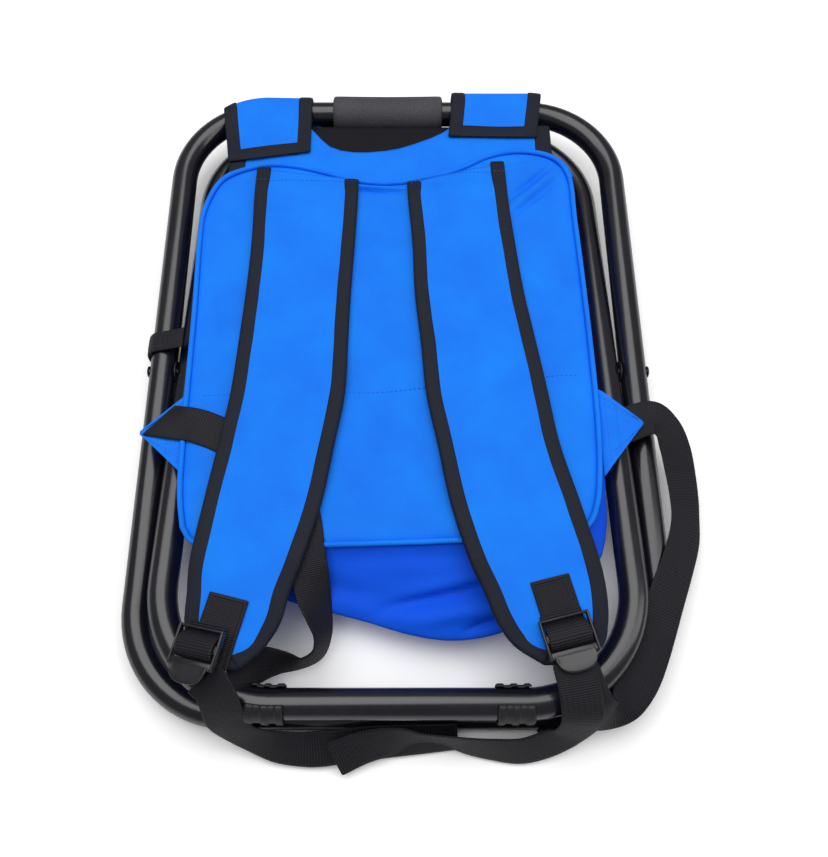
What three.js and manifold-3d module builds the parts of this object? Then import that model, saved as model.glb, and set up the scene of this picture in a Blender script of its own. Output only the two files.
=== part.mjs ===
// Folding cooler stool: two nested tube loops, a seat cloth and a flat cooler bag with shoulder straps.
// Millimetres, +Z up. The stool lies folded on the bag's front, with the shoulder straps on top.
// The origin is on the floor under the middle of the pivot line, and +Y runs to the bar with the grip.
import * as THREE from 'three';
import { mergeVertices } from 'three/addons/utils/BufferGeometryUtils.js';
import Module from 'manifold-3d';

const wasm = await Module();
wasm.setup();

// Clearances
const CONTACT_GAP = 0.3;
const CUT_OVERRUN = 40;

// Frame tubes
const FRAME_WIDTH = 360;
const OUTER_LENGTH = 487;
const LENGTH_DIFFERENCE = 8;
const INNER_LENGTH = OUTER_LENGTH - LENGTH_DIFFERENCE;
const TUBE_DIAMETER = 19;
const TUBE_WALL = 1;
const OUTER_CORNER_RADIUS = 66;
const INNER_CORNER_RADIUS = 74;
const SIDE_GAP = 1.2;
const CORNER_STEPS = 8;
const TUBE_SIDES = 16;

// Pivot rivets and washers
const RIVET_RADIUS = 3;
const RIVET_HOLE_RADIUS = 3.3;
const RIVET_HEAD_RADIUS = 5.5;
const RIVET_HEAD_HEIGHT = 2.2;
const RIVET_TAIL_RADIUS = 4.8;
const RIVET_TAIL_HEIGHT = 1.3;
const WASHER_RADIUS = 8;

// Foam grip on the top bar of the outer loop
const GRIP_LENGTH = 89;
const GRIP_RADIUS = 14;
const GRIP_CENTRE = -8.5;
const GRIP_CHAMFER = 1.5;

// Ribbed rubber feet, clipped on the bottom bars
const FOOT_LENGTH = 22;
const FOOT_SKIN = 1.4;
const FOOT_RIB_HEIGHT = 2.5;
const FOOT_RIB_WIDTH = 4;
const FOOT_RIB_COUNT = 3;
const FOOT_MOUTH_SHARE = 0.6;
const OUTER_FOOT_CENTRE = 0.272 * FRAME_WIDTH;
const INNER_FOOT_LEFT = -0.219 * FRAME_WIDTH;
const INNER_FOOT_RIGHT = 0.194 * FRAME_WIDTH;

// Hook-and-loop flaps round the top bars
const FOLDED_BAR_GAP = 0.4;
const FLAP_WIDTH = 72;
const FLAP_THICKNESS = 1.6;
const LEFT_FLAP_GAP = 16;
const RIGHT_FLAP_GAP = 7;
const BACK_FLAP_LEFT = GRIP_CENTRE - GRIP_LENGTH / 2 - LEFT_FLAP_GAP - FLAP_WIDTH / 2;
const BACK_FLAP_RIGHT = GRIP_CENTRE + GRIP_LENGTH / 2 + RIGHT_FLAP_GAP + FLAP_WIDTH / 2;
const BACK_FLAP_LEFT_REACH = 54;
const BACK_FLAP_RIGHT_REACH = 38;
const BACK_FLAP_LEFT_LEAN = THREE.MathUtils.degToRad(7);
const BACK_FLAP_RIGHT_LEAN = THREE.MathUtils.degToRad(2);
const FRONT_FLAP_WIDTH = 58;
const FRONT_FLAP_GAP = 2;
const FRONT_FLAP_CENTRE = (GRIP_LENGTH + FRONT_FLAP_WIDTH) / 2 - GRIP_CENTRE + FRONT_FLAP_GAP;
const FRONT_FLAP_REACH = 48;
const HOOK_PAD_THICKNESS = 1;
const HOOK_PAD_MARGIN = 12;
const HOOK_PAD_LENGTH = 22;

// Bag panels
const PANEL_WIDTH = 0.797 * FRAME_WIDTH;
const PANEL_HEIGHT = 0.624 * OUTER_LENGTH;
const PANEL_CENTRE_X = -0.0153 * FRAME_WIDTH;
const PANEL_CENTRE_Y = 0.035 * OUTER_LENGTH;
const BACK_PANEL_BASE = 43;
const BACK_PANEL_THICKNESS = 3.5;
const PIPING_RADIUS = 1.6;
const YOKE_THICKNESS = 2;
const YOKE_DROP = 1.5;
const CLOTH_THICKNESS = 1.6;
const BAG_SIDE_GAP = 3.3;
const BAG_HALF_WIDTH = FRAME_WIDTH / 2 - 2 * TUBE_DIAMETER - SIDE_GAP - BAG_SIDE_GAP;
const BAG_TOP = 0.308 * OUTER_LENGTH;
const BAG_BOTTOM = -0.277 * OUTER_LENGTH;
const BAG_CORNER_RADIUS = 30;
const FRONT_PANEL_THICKNESS = 2;
const FRONT_YOKE_THICKNESS = 1.4;
const FOAM_THICKNESS = 3.8;
const LINER_THICKNESS = 0.5;
const LINING_MARGIN = 5.5;
const LINING_TOP_MARGIN = 15;
const LID_DEPTH = 36;
const BOTTOM_DEPTH = 0.105 * OUTER_LENGTH;
const FLOOR_GAP = 0.3;

// Zip in the crease of the bag's lid
const ZIP_INSET = 31;
const ZIP_LENGTH = 2 * BAG_HALF_WIDTH - ZIP_INSET;
const ZIP_TAPE_WIDTH = 14;
const ZIP_TAPE_THICKNESS = 1;
const SLIDER_LENGTH = 9;
const SLIDER_WIDTH = 8;
const SLIDER_HEIGHT = 4;
const PULL_LENGTH = 20;
const PULL_WIDTH = 5;
const PULL_THICKNESS = 1.4;

// Seat cloth between the top bars, folded inwards
const SEAT_THICKNESS = 1.5;
const SEAT_FOLD_DEPTH = 50;
const SEAT_OUTER_HALF_WIDTH = 0.344 * FRAME_WIDTH;
const SEAT_INNER_HALF_WIDTH = 0.27 * FRAME_WIDTH;

// Shoulder straps
const STRAP_LENGTH = 0.758 * OUTER_LENGTH;
const STRAP_WIDTH = 0.217 * FRAME_WIDTH;
const STRAP_THICKNESS = 6;
const STRAP_TOP_Y = 0.3245 * OUTER_LENGTH;
const LEFT_STRAP_X = -0.1945 * FRAME_WIDTH;
const RIGHT_STRAP_X = 0.122 * FRAME_WIDTH;

// Webbing, tabs and strap adjusters
const WEBBING_WIDTH = 25;
const WEBBING_THICKNESS = 1.4;
const TIE_WIDTH = 16;
const TAB_THICKNESS = 1.6;
const TAB_REACH = 24;
const TAB_BASE = 74;
const TAB_CENTRE_Y = -0.119 * OUTER_LENGTH;
const PATCH_LENGTH = 23;
const PATCH_THICKNESS = 1.2;
const PATCH_YAW = THREE.MathUtils.degToRad(14);
const RIGHT_PATCH_X = 0.265 * FRAME_WIDTH;
const RIGHT_PATCH_Y = -0.347 * OUTER_LENGTH;
const LEFT_PATCH_X = -0.292 * FRAME_WIDTH;
const LEFT_PATCH_Y = -0.37 * OUTER_LENGTH;
const BUCKLE_WIDTH = 31;
const BUCKLE_LENGTH = 24;
const BUCKLE_THICKNESS = 4.5;
const BUCKLE_SLOT_WIDTH = 3.8;
const BUCKLE_SLOT_OFFSET = 5;
const BUCKLE_TONGUE_THICKNESS = 2;
const BUCKLE_TONGUE_LENGTH = 9.5;
const RIGHT_BUCKLE_X = 0.2806 * FRAME_WIDTH;
const RIGHT_BUCKLE_Y = -0.3963 * OUTER_LENGTH;
const LEFT_BUCKLE_X = -0.3278 * FRAME_WIDTH;
const LEFT_BUCKLE_Y = -0.4107 * OUTER_LENGTH;
const LEFT_BUCKLE_LIFT = 2;
const LEFT_BUCKLE_ROLL = THREE.MathUtils.degToRad(-18);

// Heights and tilts of the folded loops, worked out from the sizes above
const tubeRadius = TUBE_DIAMETER / 2;
const footRadius = tubeRadius + CONTACT_GAP + FOOT_SKIN;
const ribRadius = tubeRadius + FOOT_RIB_HEIGHT;
const outerReach = (OUTER_LENGTH - TUBE_DIAMETER) / 2;
const innerReach = (INNER_LENGTH - TUBE_DIAMETER) / 2;
const innerWidth = FRAME_WIDTH - 2 * TUBE_DIAMETER - 2 * SIDE_GAP;
const outerBottomZ = ribRadius;
const innerTopZ = tubeRadius + FOLDED_BAR_GAP + FLAP_THICKNESS;
const restingDistance = GRIP_RADIUS + tubeRadius + CONTACT_GAP;
const outerTopZ = innerTopZ + Math.sqrt(restingDistance ** 2 - (outerReach - innerReach) ** 2);
const pivotZ = (outerTopZ + outerBottomZ) / 2;
const innerBottomZ = 2 * pivotZ - innerTopZ;
const sleeveRadius = tubeRadius + FOLDED_BAR_GAP;
const outerTilt = Math.asin((pivotZ - outerBottomZ) / outerReach);
const innerTilt = Math.asin((innerBottomZ - pivotZ) / innerReach);
const backPanelTop = BACK_PANEL_BASE + BACK_PANEL_THICKNESS;
const strapBase = backPanelTop + CONTACT_GAP;
const strapRaisedBase = strapBase + WEBBING_THICKNESS + CONTACT_GAP;
const strapTop = strapRaisedBase + STRAP_THICKNESS;
const patchBase = strapTop + CONTACT_GAP;
const buckleBase = patchBase + WEBBING_THICKNESS + 2 * CONTACT_GAP;

// Materials
const paintedTube = new THREE.MeshStandardMaterial({ color: 0x0b0b0d, roughness: 0.22, metalness: 0.3 });
const rivetSteel = new THREE.MeshStandardMaterial({ color: 0x2a2a2c, roughness: 0.35, metalness: 0.9 });
const nylonWasher = new THREE.MeshStandardMaterial({ color: 0x1a1a1b, roughness: 0.5, metalness: 0 });
const gripFoam = new THREE.MeshStandardMaterial({ color: 0x1f2021, roughness: 0.9, metalness: 0 });
const blackRubber = new THREE.MeshStandardMaterial({ color: 0x111113, roughness: 0.75, metalness: 0 });
const blueCloth = new THREE.MeshStandardMaterial({ color: 0x0f52e6, roughness: 0.8, metalness: 0 });
const blackCloth = new THREE.MeshStandardMaterial({ color: 0x141417, roughness: 0.85, metalness: 0 });
const blackWebbing = new THREE.MeshStandardMaterial({ color: 0x0e0e12, roughness: 0.7, metalness: 0 });
const blackPlastic = new THREE.MeshStandardMaterial({ color: 0x0c0c0e, roughness: 0.3, metalness: 0 });
const whiteFoam = new THREE.MeshStandardMaterial({ color: 0xe8e8e4, roughness: 0.9, metalness: 0 });
const silverLiner = new THREE.MeshStandardMaterial({ color: 0xc4c6c8, roughness: 0.3, metalness: 0.8 });
const hookTape = new THREE.MeshStandardMaterial({ color: 0x121214, roughness: 0.95, metalness: 0 });

const X_AXIS = new THREE.Vector3(1, 0, 0);
const Z_AXIS = new THREE.Vector3(0, 0, 1);
const QUARTER_TURN = Math.PI / 2;
const stool = new THREE.Group();

function addPiece(name, geometry, material, parent = stool) {
  const mesh = new THREE.Mesh(outward(geometry), material);
  mesh.name = name;
  parent.add(mesh);
  return mesh;
}

// A copy with shared vertices joined and its faces pointing out
function outward(geometry) {
  const bare = geometry.clone();
  bare.deleteAttribute('normal');
  bare.deleteAttribute('uv');
  const joined = mergeVertices(bare);
  const index = joined.index.array;
  const corners = [new THREE.Vector3(), new THREE.Vector3(), new THREE.Vector3()];
  let volume = 0;
  for (let i = 0; i < index.length; i += 3) {
    corners.forEach((corner, k) => corner.fromBufferAttribute(joined.attributes.position, index[i + k]));
    volume += corners[0].dot(corners[1].cross(corners[2]));
  }
  if (volume < 0) {
    for (let i = 0; i < index.length; i += 3) {
      [index[i + 1], index[i + 2]] = [index[i + 2], index[i + 1]];
    }
  }
  return joined;
}

function solidOf(geometry) {
  const shell = outward(geometry);
  return new wasm.Manifold(new wasm.Mesh({
    numProp: 3,
    vertProperties: new Float32Array(shell.attributes.position.array),
    triVerts: new Uint32Array(shell.index.array),
  }));
}

function geometryOf(solid) {
  const mesh = solid.getMesh();
  const geometry = new THREE.BufferGeometry();
  geometry.setAttribute('position', new THREE.BufferAttribute(mesh.vertProperties.slice(), 3));
  geometry.setIndex(new THREE.BufferAttribute(mesh.triVerts.slice(), 1));
  return geometry;
}

function union(geometries) {
  return geometryOf(geometries.map(solidOf).reduce((total, next) => total.add(next)));
}

function cut(geometry, cutters) {
  return geometryOf(cutters.map(solidOf).reduce((left, next) => left.subtract(next), solidOf(geometry)));
}

// Carries an anticlockwise section along stations of a centre and the two directions of the section
function sweep(stations, section, closed = false) {
  const positions = [];
  for (const { centre, across, up } of stations) {
    for (const { x, y } of section) {
      positions.push(...centre.clone().addScaledVector(across, x).addScaledVector(up, y).toArray());
    }
  }
  const index = [];
  const sides = section.length;
  const spans = closed ? stations.length : stations.length - 1;
  for (let i = 0; i < spans; i += 1) {
    const near = i * sides;
    const far = ((i + 1) % stations.length) * sides;
    for (let k = 0; k < sides; k += 1) {
      const next = (k + 1) % sides;
      index.push(near + k, near + next, far + next, near + k, far + next, far + k);
    }
  }
  if (!closed) {
    const end = spans * sides;
    for (const [a, b, c] of THREE.ShapeUtils.triangulateShape(section, [])) {
      index.push(c, b, a, end + a, end + b, end + c);
    }
  }
  const geometry = new THREE.BufferGeometry();
  geometry.setAttribute('position', new THREE.Float32BufferAttribute(positions, 3));
  geometry.setIndex(index);
  return geometry;
}

function circleSection(radius, sides) {
  const circle = new THREE.Path().absarc(0, 0, radius, 0, 2 * Math.PI);
  return circle.getSpacedPoints(sides).slice(0, sides);
}

const squareSection = [[-1, -1], [1, -1], [1, 1], [-1, 1]].map(([x, y]) => new THREE.Vector2(x, y));

// Centreline of a rounded loop that lies in its own XY plane
function loopStations(width, length, cornerRadius) {
  const signs = [[1, 1], [-1, 1], [-1, -1], [1, -1]];
  const stations = [];
  signs.forEach(([signX, signY], quarter) => {
    for (let step = 0; step <= CORNER_STEPS; step += 1) {
      const angle = (quarter + step / CORNER_STEPS) * QUARTER_TURN;
      const across = new THREE.Vector3(Math.cos(angle), Math.sin(angle), 0);
      const cornerX = signX * (width / 2 - cornerRadius);
      const cornerY = signY * (length / 2 - cornerRadius);
      const centre = new THREE.Vector3(cornerX, cornerY, 0).addScaledVector(across, cornerRadius);
      stations.push({ centre, across, up: Z_AXIS });
    }
  });
  return stations;
}

const outerLoop = loopStations(FRAME_WIDTH - TUBE_DIAMETER, OUTER_LENGTH - TUBE_DIAMETER, OUTER_CORNER_RADIUS);
const innerLoop = loopStations(innerWidth - TUBE_DIAMETER, INNER_LENGTH - TUBE_DIAMETER, INNER_CORNER_RADIUS);

function loopSolid(stations, radius) {
  return sweep(stations, circleSection(radius, TUBE_SIDES), true);
}

function box(width, depth, height, x, y, z) {
  return new THREE.BoxGeometry(width, depth, height).translate(x, y, z);
}

// A flat plate from an outline, standing on the given height
function plate(outline, base, thickness) {
  const shape = outline instanceof THREE.Shape ? outline : new THREE.Shape(outline);
  return new THREE.ExtrudeGeometry(shape, { depth: thickness, bevelEnabled: false, curveSegments: 5 })
    .translate(0, 0, base);
}

function roundedRectangle(halfWidth, bottom, top, radius) {
  const shape = new THREE.Shape();
  shape.moveTo(halfWidth - radius, bottom);
  shape.absarc(halfWidth - radius, bottom + radius, radius, -QUARTER_TURN, 0);
  shape.absarc(halfWidth - radius, top - radius, radius, 0, QUARTER_TURN);
  shape.absarc(radius - halfWidth, top - radius, radius, QUARTER_TURN, 2 * QUARTER_TURN);
  shape.absarc(radius - halfWidth, bottom + radius, radius, 2 * QUARTER_TURN, 3 * QUARTER_TURN);
  shape.closePath();
  return shape;
}

// Frame loops
const outerFrame = new THREE.Group();
outerFrame.position.z = pivotZ;
outerFrame.rotation.x = outerTilt;
stool.add(outerFrame);

const innerFrame = new THREE.Group();
innerFrame.position.z = pivotZ;
innerFrame.rotation.x = -innerTilt;
stool.add(innerFrame);

function drilledLoop(stations) {
  const bore = loopSolid(stations, tubeRadius - TUBE_WALL);
  const drill = new THREE.CylinderGeometry(RIVET_HOLE_RADIUS, RIVET_HOLE_RADIUS, FRAME_WIDTH + CUT_OVERRUN, TUBE_SIDES)
    .rotateZ(QUARTER_TURN);
  return cut(loopSolid(stations, tubeRadius), [bore, drill]);
}

function makeLoops() {
  addPiece('outer_frame_tube', drilledLoop(outerLoop), paintedTube, outerFrame);
  addPiece('inner_frame_tube', drilledLoop(innerLoop), paintedTube, innerFrame);
}

function makeGrip() {
  const inner = tubeRadius + CONTACT_GAP;
  const profile = [
    [inner, 0], [GRIP_RADIUS - GRIP_CHAMFER, 0], [GRIP_RADIUS, GRIP_CHAMFER],
    [GRIP_RADIUS, GRIP_LENGTH - GRIP_CHAMFER], [GRIP_RADIUS - GRIP_CHAMFER, GRIP_LENGTH],
    [inner, GRIP_LENGTH], [inner, 0],
  ].map(([radius, along]) => new THREE.Vector2(radius, along));
  const grip = new THREE.LatheGeometry(profile, TUBE_SIDES)
    .rotateZ(-QUARTER_TURN)
    .translate(GRIP_CENTRE - GRIP_LENGTH / 2, outerReach, 0);
  addPiece('foam_grip', grip, gripFoam, outerFrame);
}

// The skin of a loop's bottom bar over a stretch of its length
function barSkin(stations, reach, centre, length, radius) {
  const band = box(length, reach, CUT_OVERRUN, centre, -reach, 0);
  return geometryOf(solidOf(loopSolid(stations, radius)).intersect(solidOf(band)));
}

// A ribbed clip round a bottom bar, with its mouth upwards
function makeFoot(name, centre, reach, stations, parent) {
  const rings = [barSkin(stations, reach, centre, FOOT_LENGTH, footRadius)];
  const pitch = (FOOT_LENGTH - FOOT_RIB_WIDTH) / (FOOT_RIB_COUNT - 1);
  for (let rib = 0; rib < FOOT_RIB_COUNT; rib += 1) {
    const offset = (rib - (FOOT_RIB_COUNT - 1) / 2) * pitch;
    rings.push(barSkin(stations, reach, centre + offset, FOOT_RIB_WIDTH, ribRadius));
  }
  const mouthDepth = tubeRadius * (1 - FOOT_MOUTH_SHARE);
  const mouth = box(FOOT_LENGTH * 2, TUBE_DIAMETER * 2, TUBE_DIAMETER, centre, -reach,
    TUBE_DIAMETER - mouthDepth);
  const bore = loopSolid(stations, tubeRadius + CONTACT_GAP);
  addPiece(name, cut(union(rings), [bore, mouth]), blackRubber, parent);
}

function makeFeet() {
  makeFoot('outer_foot_left', -OUTER_FOOT_CENTRE, outerReach, outerLoop, outerFrame);
  makeFoot('outer_foot_right', OUTER_FOOT_CENTRE, outerReach, outerLoop, outerFrame);
  makeFoot('inner_foot_left', INNER_FOOT_LEFT, innerReach, innerLoop, innerFrame);
  makeFoot('inner_foot_right', INNER_FOOT_RIGHT, innerReach, innerLoop, innerFrame);
}

function makePivots() {
  const innerFace = innerWidth / 2 - TUBE_DIAMETER - CONTACT_GAP;
  const outerFace = FRAME_WIDTH / 2 + CONTACT_GAP;
  const domeShares = [[1, 0], [0.93, 0.45], [0.68, 0.82], [0, 1]];
  const profile = [
    [0, innerFace - RIVET_TAIL_HEIGHT], [RIVET_TAIL_RADIUS, innerFace - RIVET_TAIL_HEIGHT],
    [RIVET_TAIL_RADIUS, innerFace], [RIVET_RADIUS, innerFace], [RIVET_RADIUS, outerFace],
    ...domeShares.map(([radius, height]) => (
      [radius * RIVET_HEAD_RADIUS, outerFace + height * RIVET_HEAD_HEIGHT])),
  ].map(([radius, along]) => new THREE.Vector2(radius, along));
  const rivet = new THREE.LatheGeometry(profile, TUBE_SIDES).rotateZ(-QUARTER_TURN);
  const washerThickness = SIDE_GAP - 2 * CONTACT_GAP;
  const washer = new THREE.LatheGeometry([
    [RIVET_HOLE_RADIUS, 0], [WASHER_RADIUS, 0], [WASHER_RADIUS, washerThickness],
    [RIVET_HOLE_RADIUS, washerThickness], [RIVET_HOLE_RADIUS, 0],
  ].map(([radius, along]) => new THREE.Vector2(radius, along)), TUBE_SIDES)
    .rotateZ(-QUARTER_TURN)
    .translate(innerWidth / 2 + CONTACT_GAP, 0, 0);
  for (const [side, turn] of [['right', 0], ['left', Math.PI]]) {
    addPiece(`pivot_rivet_${side}`, rivet, rivetSteel, outerFrame).rotation.z = turn;
    addPiece(`pivot_washer_${side}`, washer, nylonWasher, outerFrame).rotation.z = turn;
  }
}

// A sleeve round a top bar from one x to another
function barSleeve(stations, reach, centre, width, tilt) {
  const band = box(width, reach, CUT_OVERRUN, centre, reach, 0);
  const skin = solidOf(loopSolid(stations, sleeveRadius + FLAP_THICKNESS)).intersect(solidOf(band));
  return geometryOf(skin.subtract(solidOf(loopSolid(stations, sleeveRadius))))
    .rotateX(tilt)
    .translate(0, 0, pivotZ);
}

// A flap's tail: a plate from the bar towards the bag, leaning in plan
function flapTail(centre, barY, width, reach, lean, base) {
  const taper = HOOK_PAD_MARGIN / FLAP_WIDTH / 2;
  const outlineShares = [[-0.5, 0], [0.5, 0], [0.5 - taper, -1], [taper - 0.5, -1]];
  const outline = outlineShares.map(([across, along]) => (
    new THREE.Vector2(across * width, along * reach).rotateAround(new THREE.Vector2(), lean)
      .add(new THREE.Vector2(centre, barY))));
  return plate(outline, base, FLAP_THICKNESS);
}

const yokeBase = BACK_PANEL_BASE - YOKE_DROP;
const backPadBase = yokeBase + YOKE_THICKNESS + CONTACT_GAP;
const backTailBase = backPadBase + HOOK_PAD_THICKNESS + CONTACT_GAP;

function makeBackFlap(side, centre, reach, lean) {
  const sleeve = barSleeve(outerLoop, outerReach, centre, FLAP_WIDTH, outerTilt);
  const barY = outerReach * Math.cos(outerTilt);
  const tail = flapTail(centre, barY, FLAP_WIDTH, reach, lean, backTailBase);
  addPiece(`back_flap_${side}`, union([sleeve, tail]), blueCloth);
  const pad = box(FLAP_WIDTH - 2 * HOOK_PAD_MARGIN, HOOK_PAD_LENGTH, HOOK_PAD_THICKNESS,
    centre, barY - reach + HOOK_PAD_LENGTH / 2 + HOOK_PAD_MARGIN / 2, backPadBase + HOOK_PAD_THICKNESS / 2);
  addPiece(`back_hook_pad_${side}`, pad, hookTape);
}

const frontPadBase = FLAP_THICKNESS + CONTACT_GAP;
const frontYokeBase = frontPadBase + HOOK_PAD_THICKNESS + CONTACT_GAP;

function makeFrontFlap(side, centre) {
  const sleeve = barSleeve(innerLoop, innerReach, centre, FRONT_FLAP_WIDTH, -innerTilt);
  const barY = innerReach * Math.cos(innerTilt);
  const tail = flapTail(centre, barY, FRONT_FLAP_WIDTH, FRONT_FLAP_REACH, 0, 0);
  addPiece(`front_flap_${side}`, union([sleeve, tail]), blueCloth);
  const pad = box(FRONT_FLAP_WIDTH - 2 * HOOK_PAD_MARGIN, HOOK_PAD_LENGTH, HOOK_PAD_THICKNESS,
    centre, barY - FRONT_FLAP_REACH + HOOK_PAD_LENGTH / 2 + HOOK_PAD_MARGIN / 2,
    frontPadBase + HOOK_PAD_THICKNESS / 2);
  addPiece(`front_hook_pad_${side}`, pad, hookTape);
}

function makeFlaps() {
  makeBackFlap('left', BACK_FLAP_LEFT, BACK_FLAP_LEFT_REACH, BACK_FLAP_LEFT_LEAN);
  makeBackFlap('right', BACK_FLAP_RIGHT, BACK_FLAP_RIGHT_REACH, BACK_FLAP_RIGHT_LEAN);
  makeFrontFlap('left', -FRONT_FLAP_CENTRE);
  makeFrontFlap('right', FRONT_FLAP_CENTRE);
}

// Outline of the back panel, as shares of its half width and half height: the top edge dips
// between the two shoulder straps and the right shoulder stands a little higher
const panelOutlineShares = [
  [-0.937, -0.914], [-0.979, -0.77], [-0.993, -0.474], [-1, 0.151], [-1, 0.546], [-0.986, 0.704],
  [-0.93, 0.875], [-0.875, 0.934], [-0.735, 0.993], [-0.631, 1.007], [-0.505, 0.993], [-0.331, 0.947],
  [-0.199, 0.908], [-0.066, 0.888], [0.066, 0.895], [0.178, 0.921], [0.289, 0.947], [0.401, 0.993],
  [0.512, 1.053], [0.624, 1.086], [0.742, 1.092], [0.854, 1.066], [0.916, 1.02], [0.958, 0.928],
  [0.965, 0.664], [0.974, 0.336], [1, -0.112], [1, -0.507], [0.993, -0.704], [0.972, -0.809],
  [0.909, -0.901], [0.791, -0.967], [0.338, -0.987], [-0.296, -1.007], [-0.763, -1.02], [-0.881, -0.987],
];

function panelOutline(growth) {
  return panelOutlineShares.map(([x, y]) => new THREE.Vector2(
    PANEL_CENTRE_X + x * (PANEL_WIDTH / 2 + growth),
    PANEL_CENTRE_Y + y * (PANEL_HEIGHT / 2 + growth)));
}

function makeBackPanel() {
  addPiece('back_panel', plate(panelOutline(0), BACK_PANEL_BASE, BACK_PANEL_THICKNESS), blueCloth);
  const pipingLine = panelOutline(PIPING_RADIUS + 3 * CONTACT_GAP);
  const pipingZ = backPanelTop - PIPING_RADIUS;
  const stations = pipingLine.map((point, i) => {
    const before = pipingLine.at(i - 1);
    const after = pipingLine[(i + 1) % pipingLine.length];
    const along = after.clone().sub(before).normalize();
    const across = new THREE.Vector3(along.y, -along.x, 0);
    return { centre: new THREE.Vector3(point.x, point.y, pipingZ), across, up: Z_AXIS };
  });
  addPiece('back_piping', sweep(stations, circleSection(PIPING_RADIUS, 6), true), blueCloth);
}

// The yoke runs from the panel's top seam to the bar, with a dip for the hand under the grip
const yokeOutlineShares = [
  [-0.51, -0.25], [0.51, -0.25], [0.51, 0.98], [0.17, 1], [0.19, 0.64], [0.08, 0.5], [-0.02, 0.35],
  [-0.1, 0.27], [-0.17, 0.27], [-0.24, 0.42], [-0.255, 0.64], [-0.235, 1], [-0.44, 0.97], [-0.51, 0.85],
];

function makeYokes() {
  const width = PANEL_WIDTH - PANEL_HEIGHT / 8;
  const base = PANEL_CENTRE_Y + PANEL_HEIGHT / 2;
  const top = outerReach - tubeRadius - FOOT_RIB_HEIGHT * 2;
  const outline = yokeOutlineShares.map(([x, y]) => (
    new THREE.Vector2(PANEL_CENTRE_X + x * width, base + y * (top - base))));
  const seam = plate(panelOutline(2 * PIPING_RADIUS + 4 * CONTACT_GAP), 0, outerTopZ * 2);
  addPiece('back_yoke', cut(plate(outline, yokeBase, YOKE_THICKNESS), [seam]), blueCloth);
  const frontOutlineShares = [[-0.9, 0], [0.9, 0], [0.9, 0.6], [0.68, 1], [-0.68, 1], [-0.9, 0.6]];
  const frontBase = BAG_TOP + CONTACT_GAP;
  const frontTop = innerReach - GRIP_RADIUS;
  const frontOutline = frontOutlineShares.map(([x, y]) => (
    new THREE.Vector2(x * BAG_HALF_WIDTH, frontBase + y * (frontTop - frontBase))));
  addPiece('front_yoke', plate(frontOutline, frontYokeBase, FRONT_YOKE_THICKNESS), blueCloth);
}

const liningShape = roundedRectangle(BAG_HALF_WIDTH - LINING_MARGIN, BAG_BOTTOM + LINING_MARGIN,
  BAG_TOP - LINING_TOP_MARGIN, BAG_CORNER_RADIUS);
const backFoamBase = BACK_PANEL_BASE - CONTACT_GAP - FOAM_THICKNESS;
const backLinerBase = backFoamBase - CONTACT_GAP - LINER_THICKNESS;
const frontFoamBase = FRONT_PANEL_THICKNESS + CONTACT_GAP;
const frontLinerBase = frontFoamBase + FOAM_THICKNESS + CONTACT_GAP;

function makeFrontPanelAndLining() {
  const front = roundedRectangle(BAG_HALF_WIDTH, BAG_BOTTOM, BAG_TOP, BAG_CORNER_RADIUS);
  addPiece('front_panel', plate(front, 0, FRONT_PANEL_THICKNESS), blueCloth);
  addPiece('back_insulation', plate(liningShape, backFoamBase, FOAM_THICKNESS), whiteFoam);
  addPiece('front_insulation', plate(liningShape, frontFoamBase, FOAM_THICKNESS), whiteFoam);
  addPiece('back_liner', plate(liningShape, backLinerBase, LINER_THICKNESS), silverLiner);
  addPiece('front_liner', plate(liningShape, frontLinerBase, LINER_THICKNESS), silverLiner);
}

// A cloth band along X whose section follows points of the YZ plane, with its own half widths
function clothBand(rows, thickness) {
  const line = rows.map(([y, z]) => new THREE.Vector3(0, y, z));
  const stations = rows.map(([y, z, halfWidth, x = 0], i) => {
    const along = line[Math.min(i + 1, rows.length - 1)].clone().sub(line[Math.max(i - 1, 0)]).normalize();
    return {
      centre: new THREE.Vector3(x, y, z),
      across: X_AXIS.clone().multiplyScalar(halfWidth),
      up: X_AXIS.clone().cross(along).multiplyScalar(thickness / 2),
    };
  });
  return sweep(stations, squareSection);
}

const gussetBase = FRONT_PANEL_THICKNESS + CONTACT_GAP;
const gussetTop = BACK_PANEL_BASE - CONTACT_GAP;
const gussetMiddle = (gussetBase + gussetTop) / 2;
const lidShares = [[0, 1], [0.5, 0.78], [1, 0.64], [1, 0.36], [0.5, 0.22], [0, 0]];

function makeSidesAndLid() {
  const height = gussetTop - gussetBase;
  const length = BAG_TOP - BAG_BOTTOM - 2 * BAG_CORNER_RADIUS;
  const x = BAG_HALF_WIDTH - CLOTH_THICKNESS / 2;
  for (const [side, sign] of [['left', -1], ['right', 1]]) {
    addPiece(`side_gusset_${side}`, box(CLOTH_THICKNESS, length, height, sign * x,
      (BAG_TOP + BAG_BOTTOM) / 2, gussetMiddle), blueCloth);
  }
  const lidRows = lidShares.map(([depth, rise]) => [
    BAG_TOP - CLOTH_THICKNESS - depth * LID_DEPTH,
    gussetBase + CLOTH_THICKNESS / 2 + rise * (height - CLOTH_THICKNESS),
    BAG_HALF_WIDTH - 2 * CLOTH_THICKNESS,
  ]);
  addPiece('bag_lid', clothBand(lidRows, CLOTH_THICKNESS), blueCloth);
}

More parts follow.
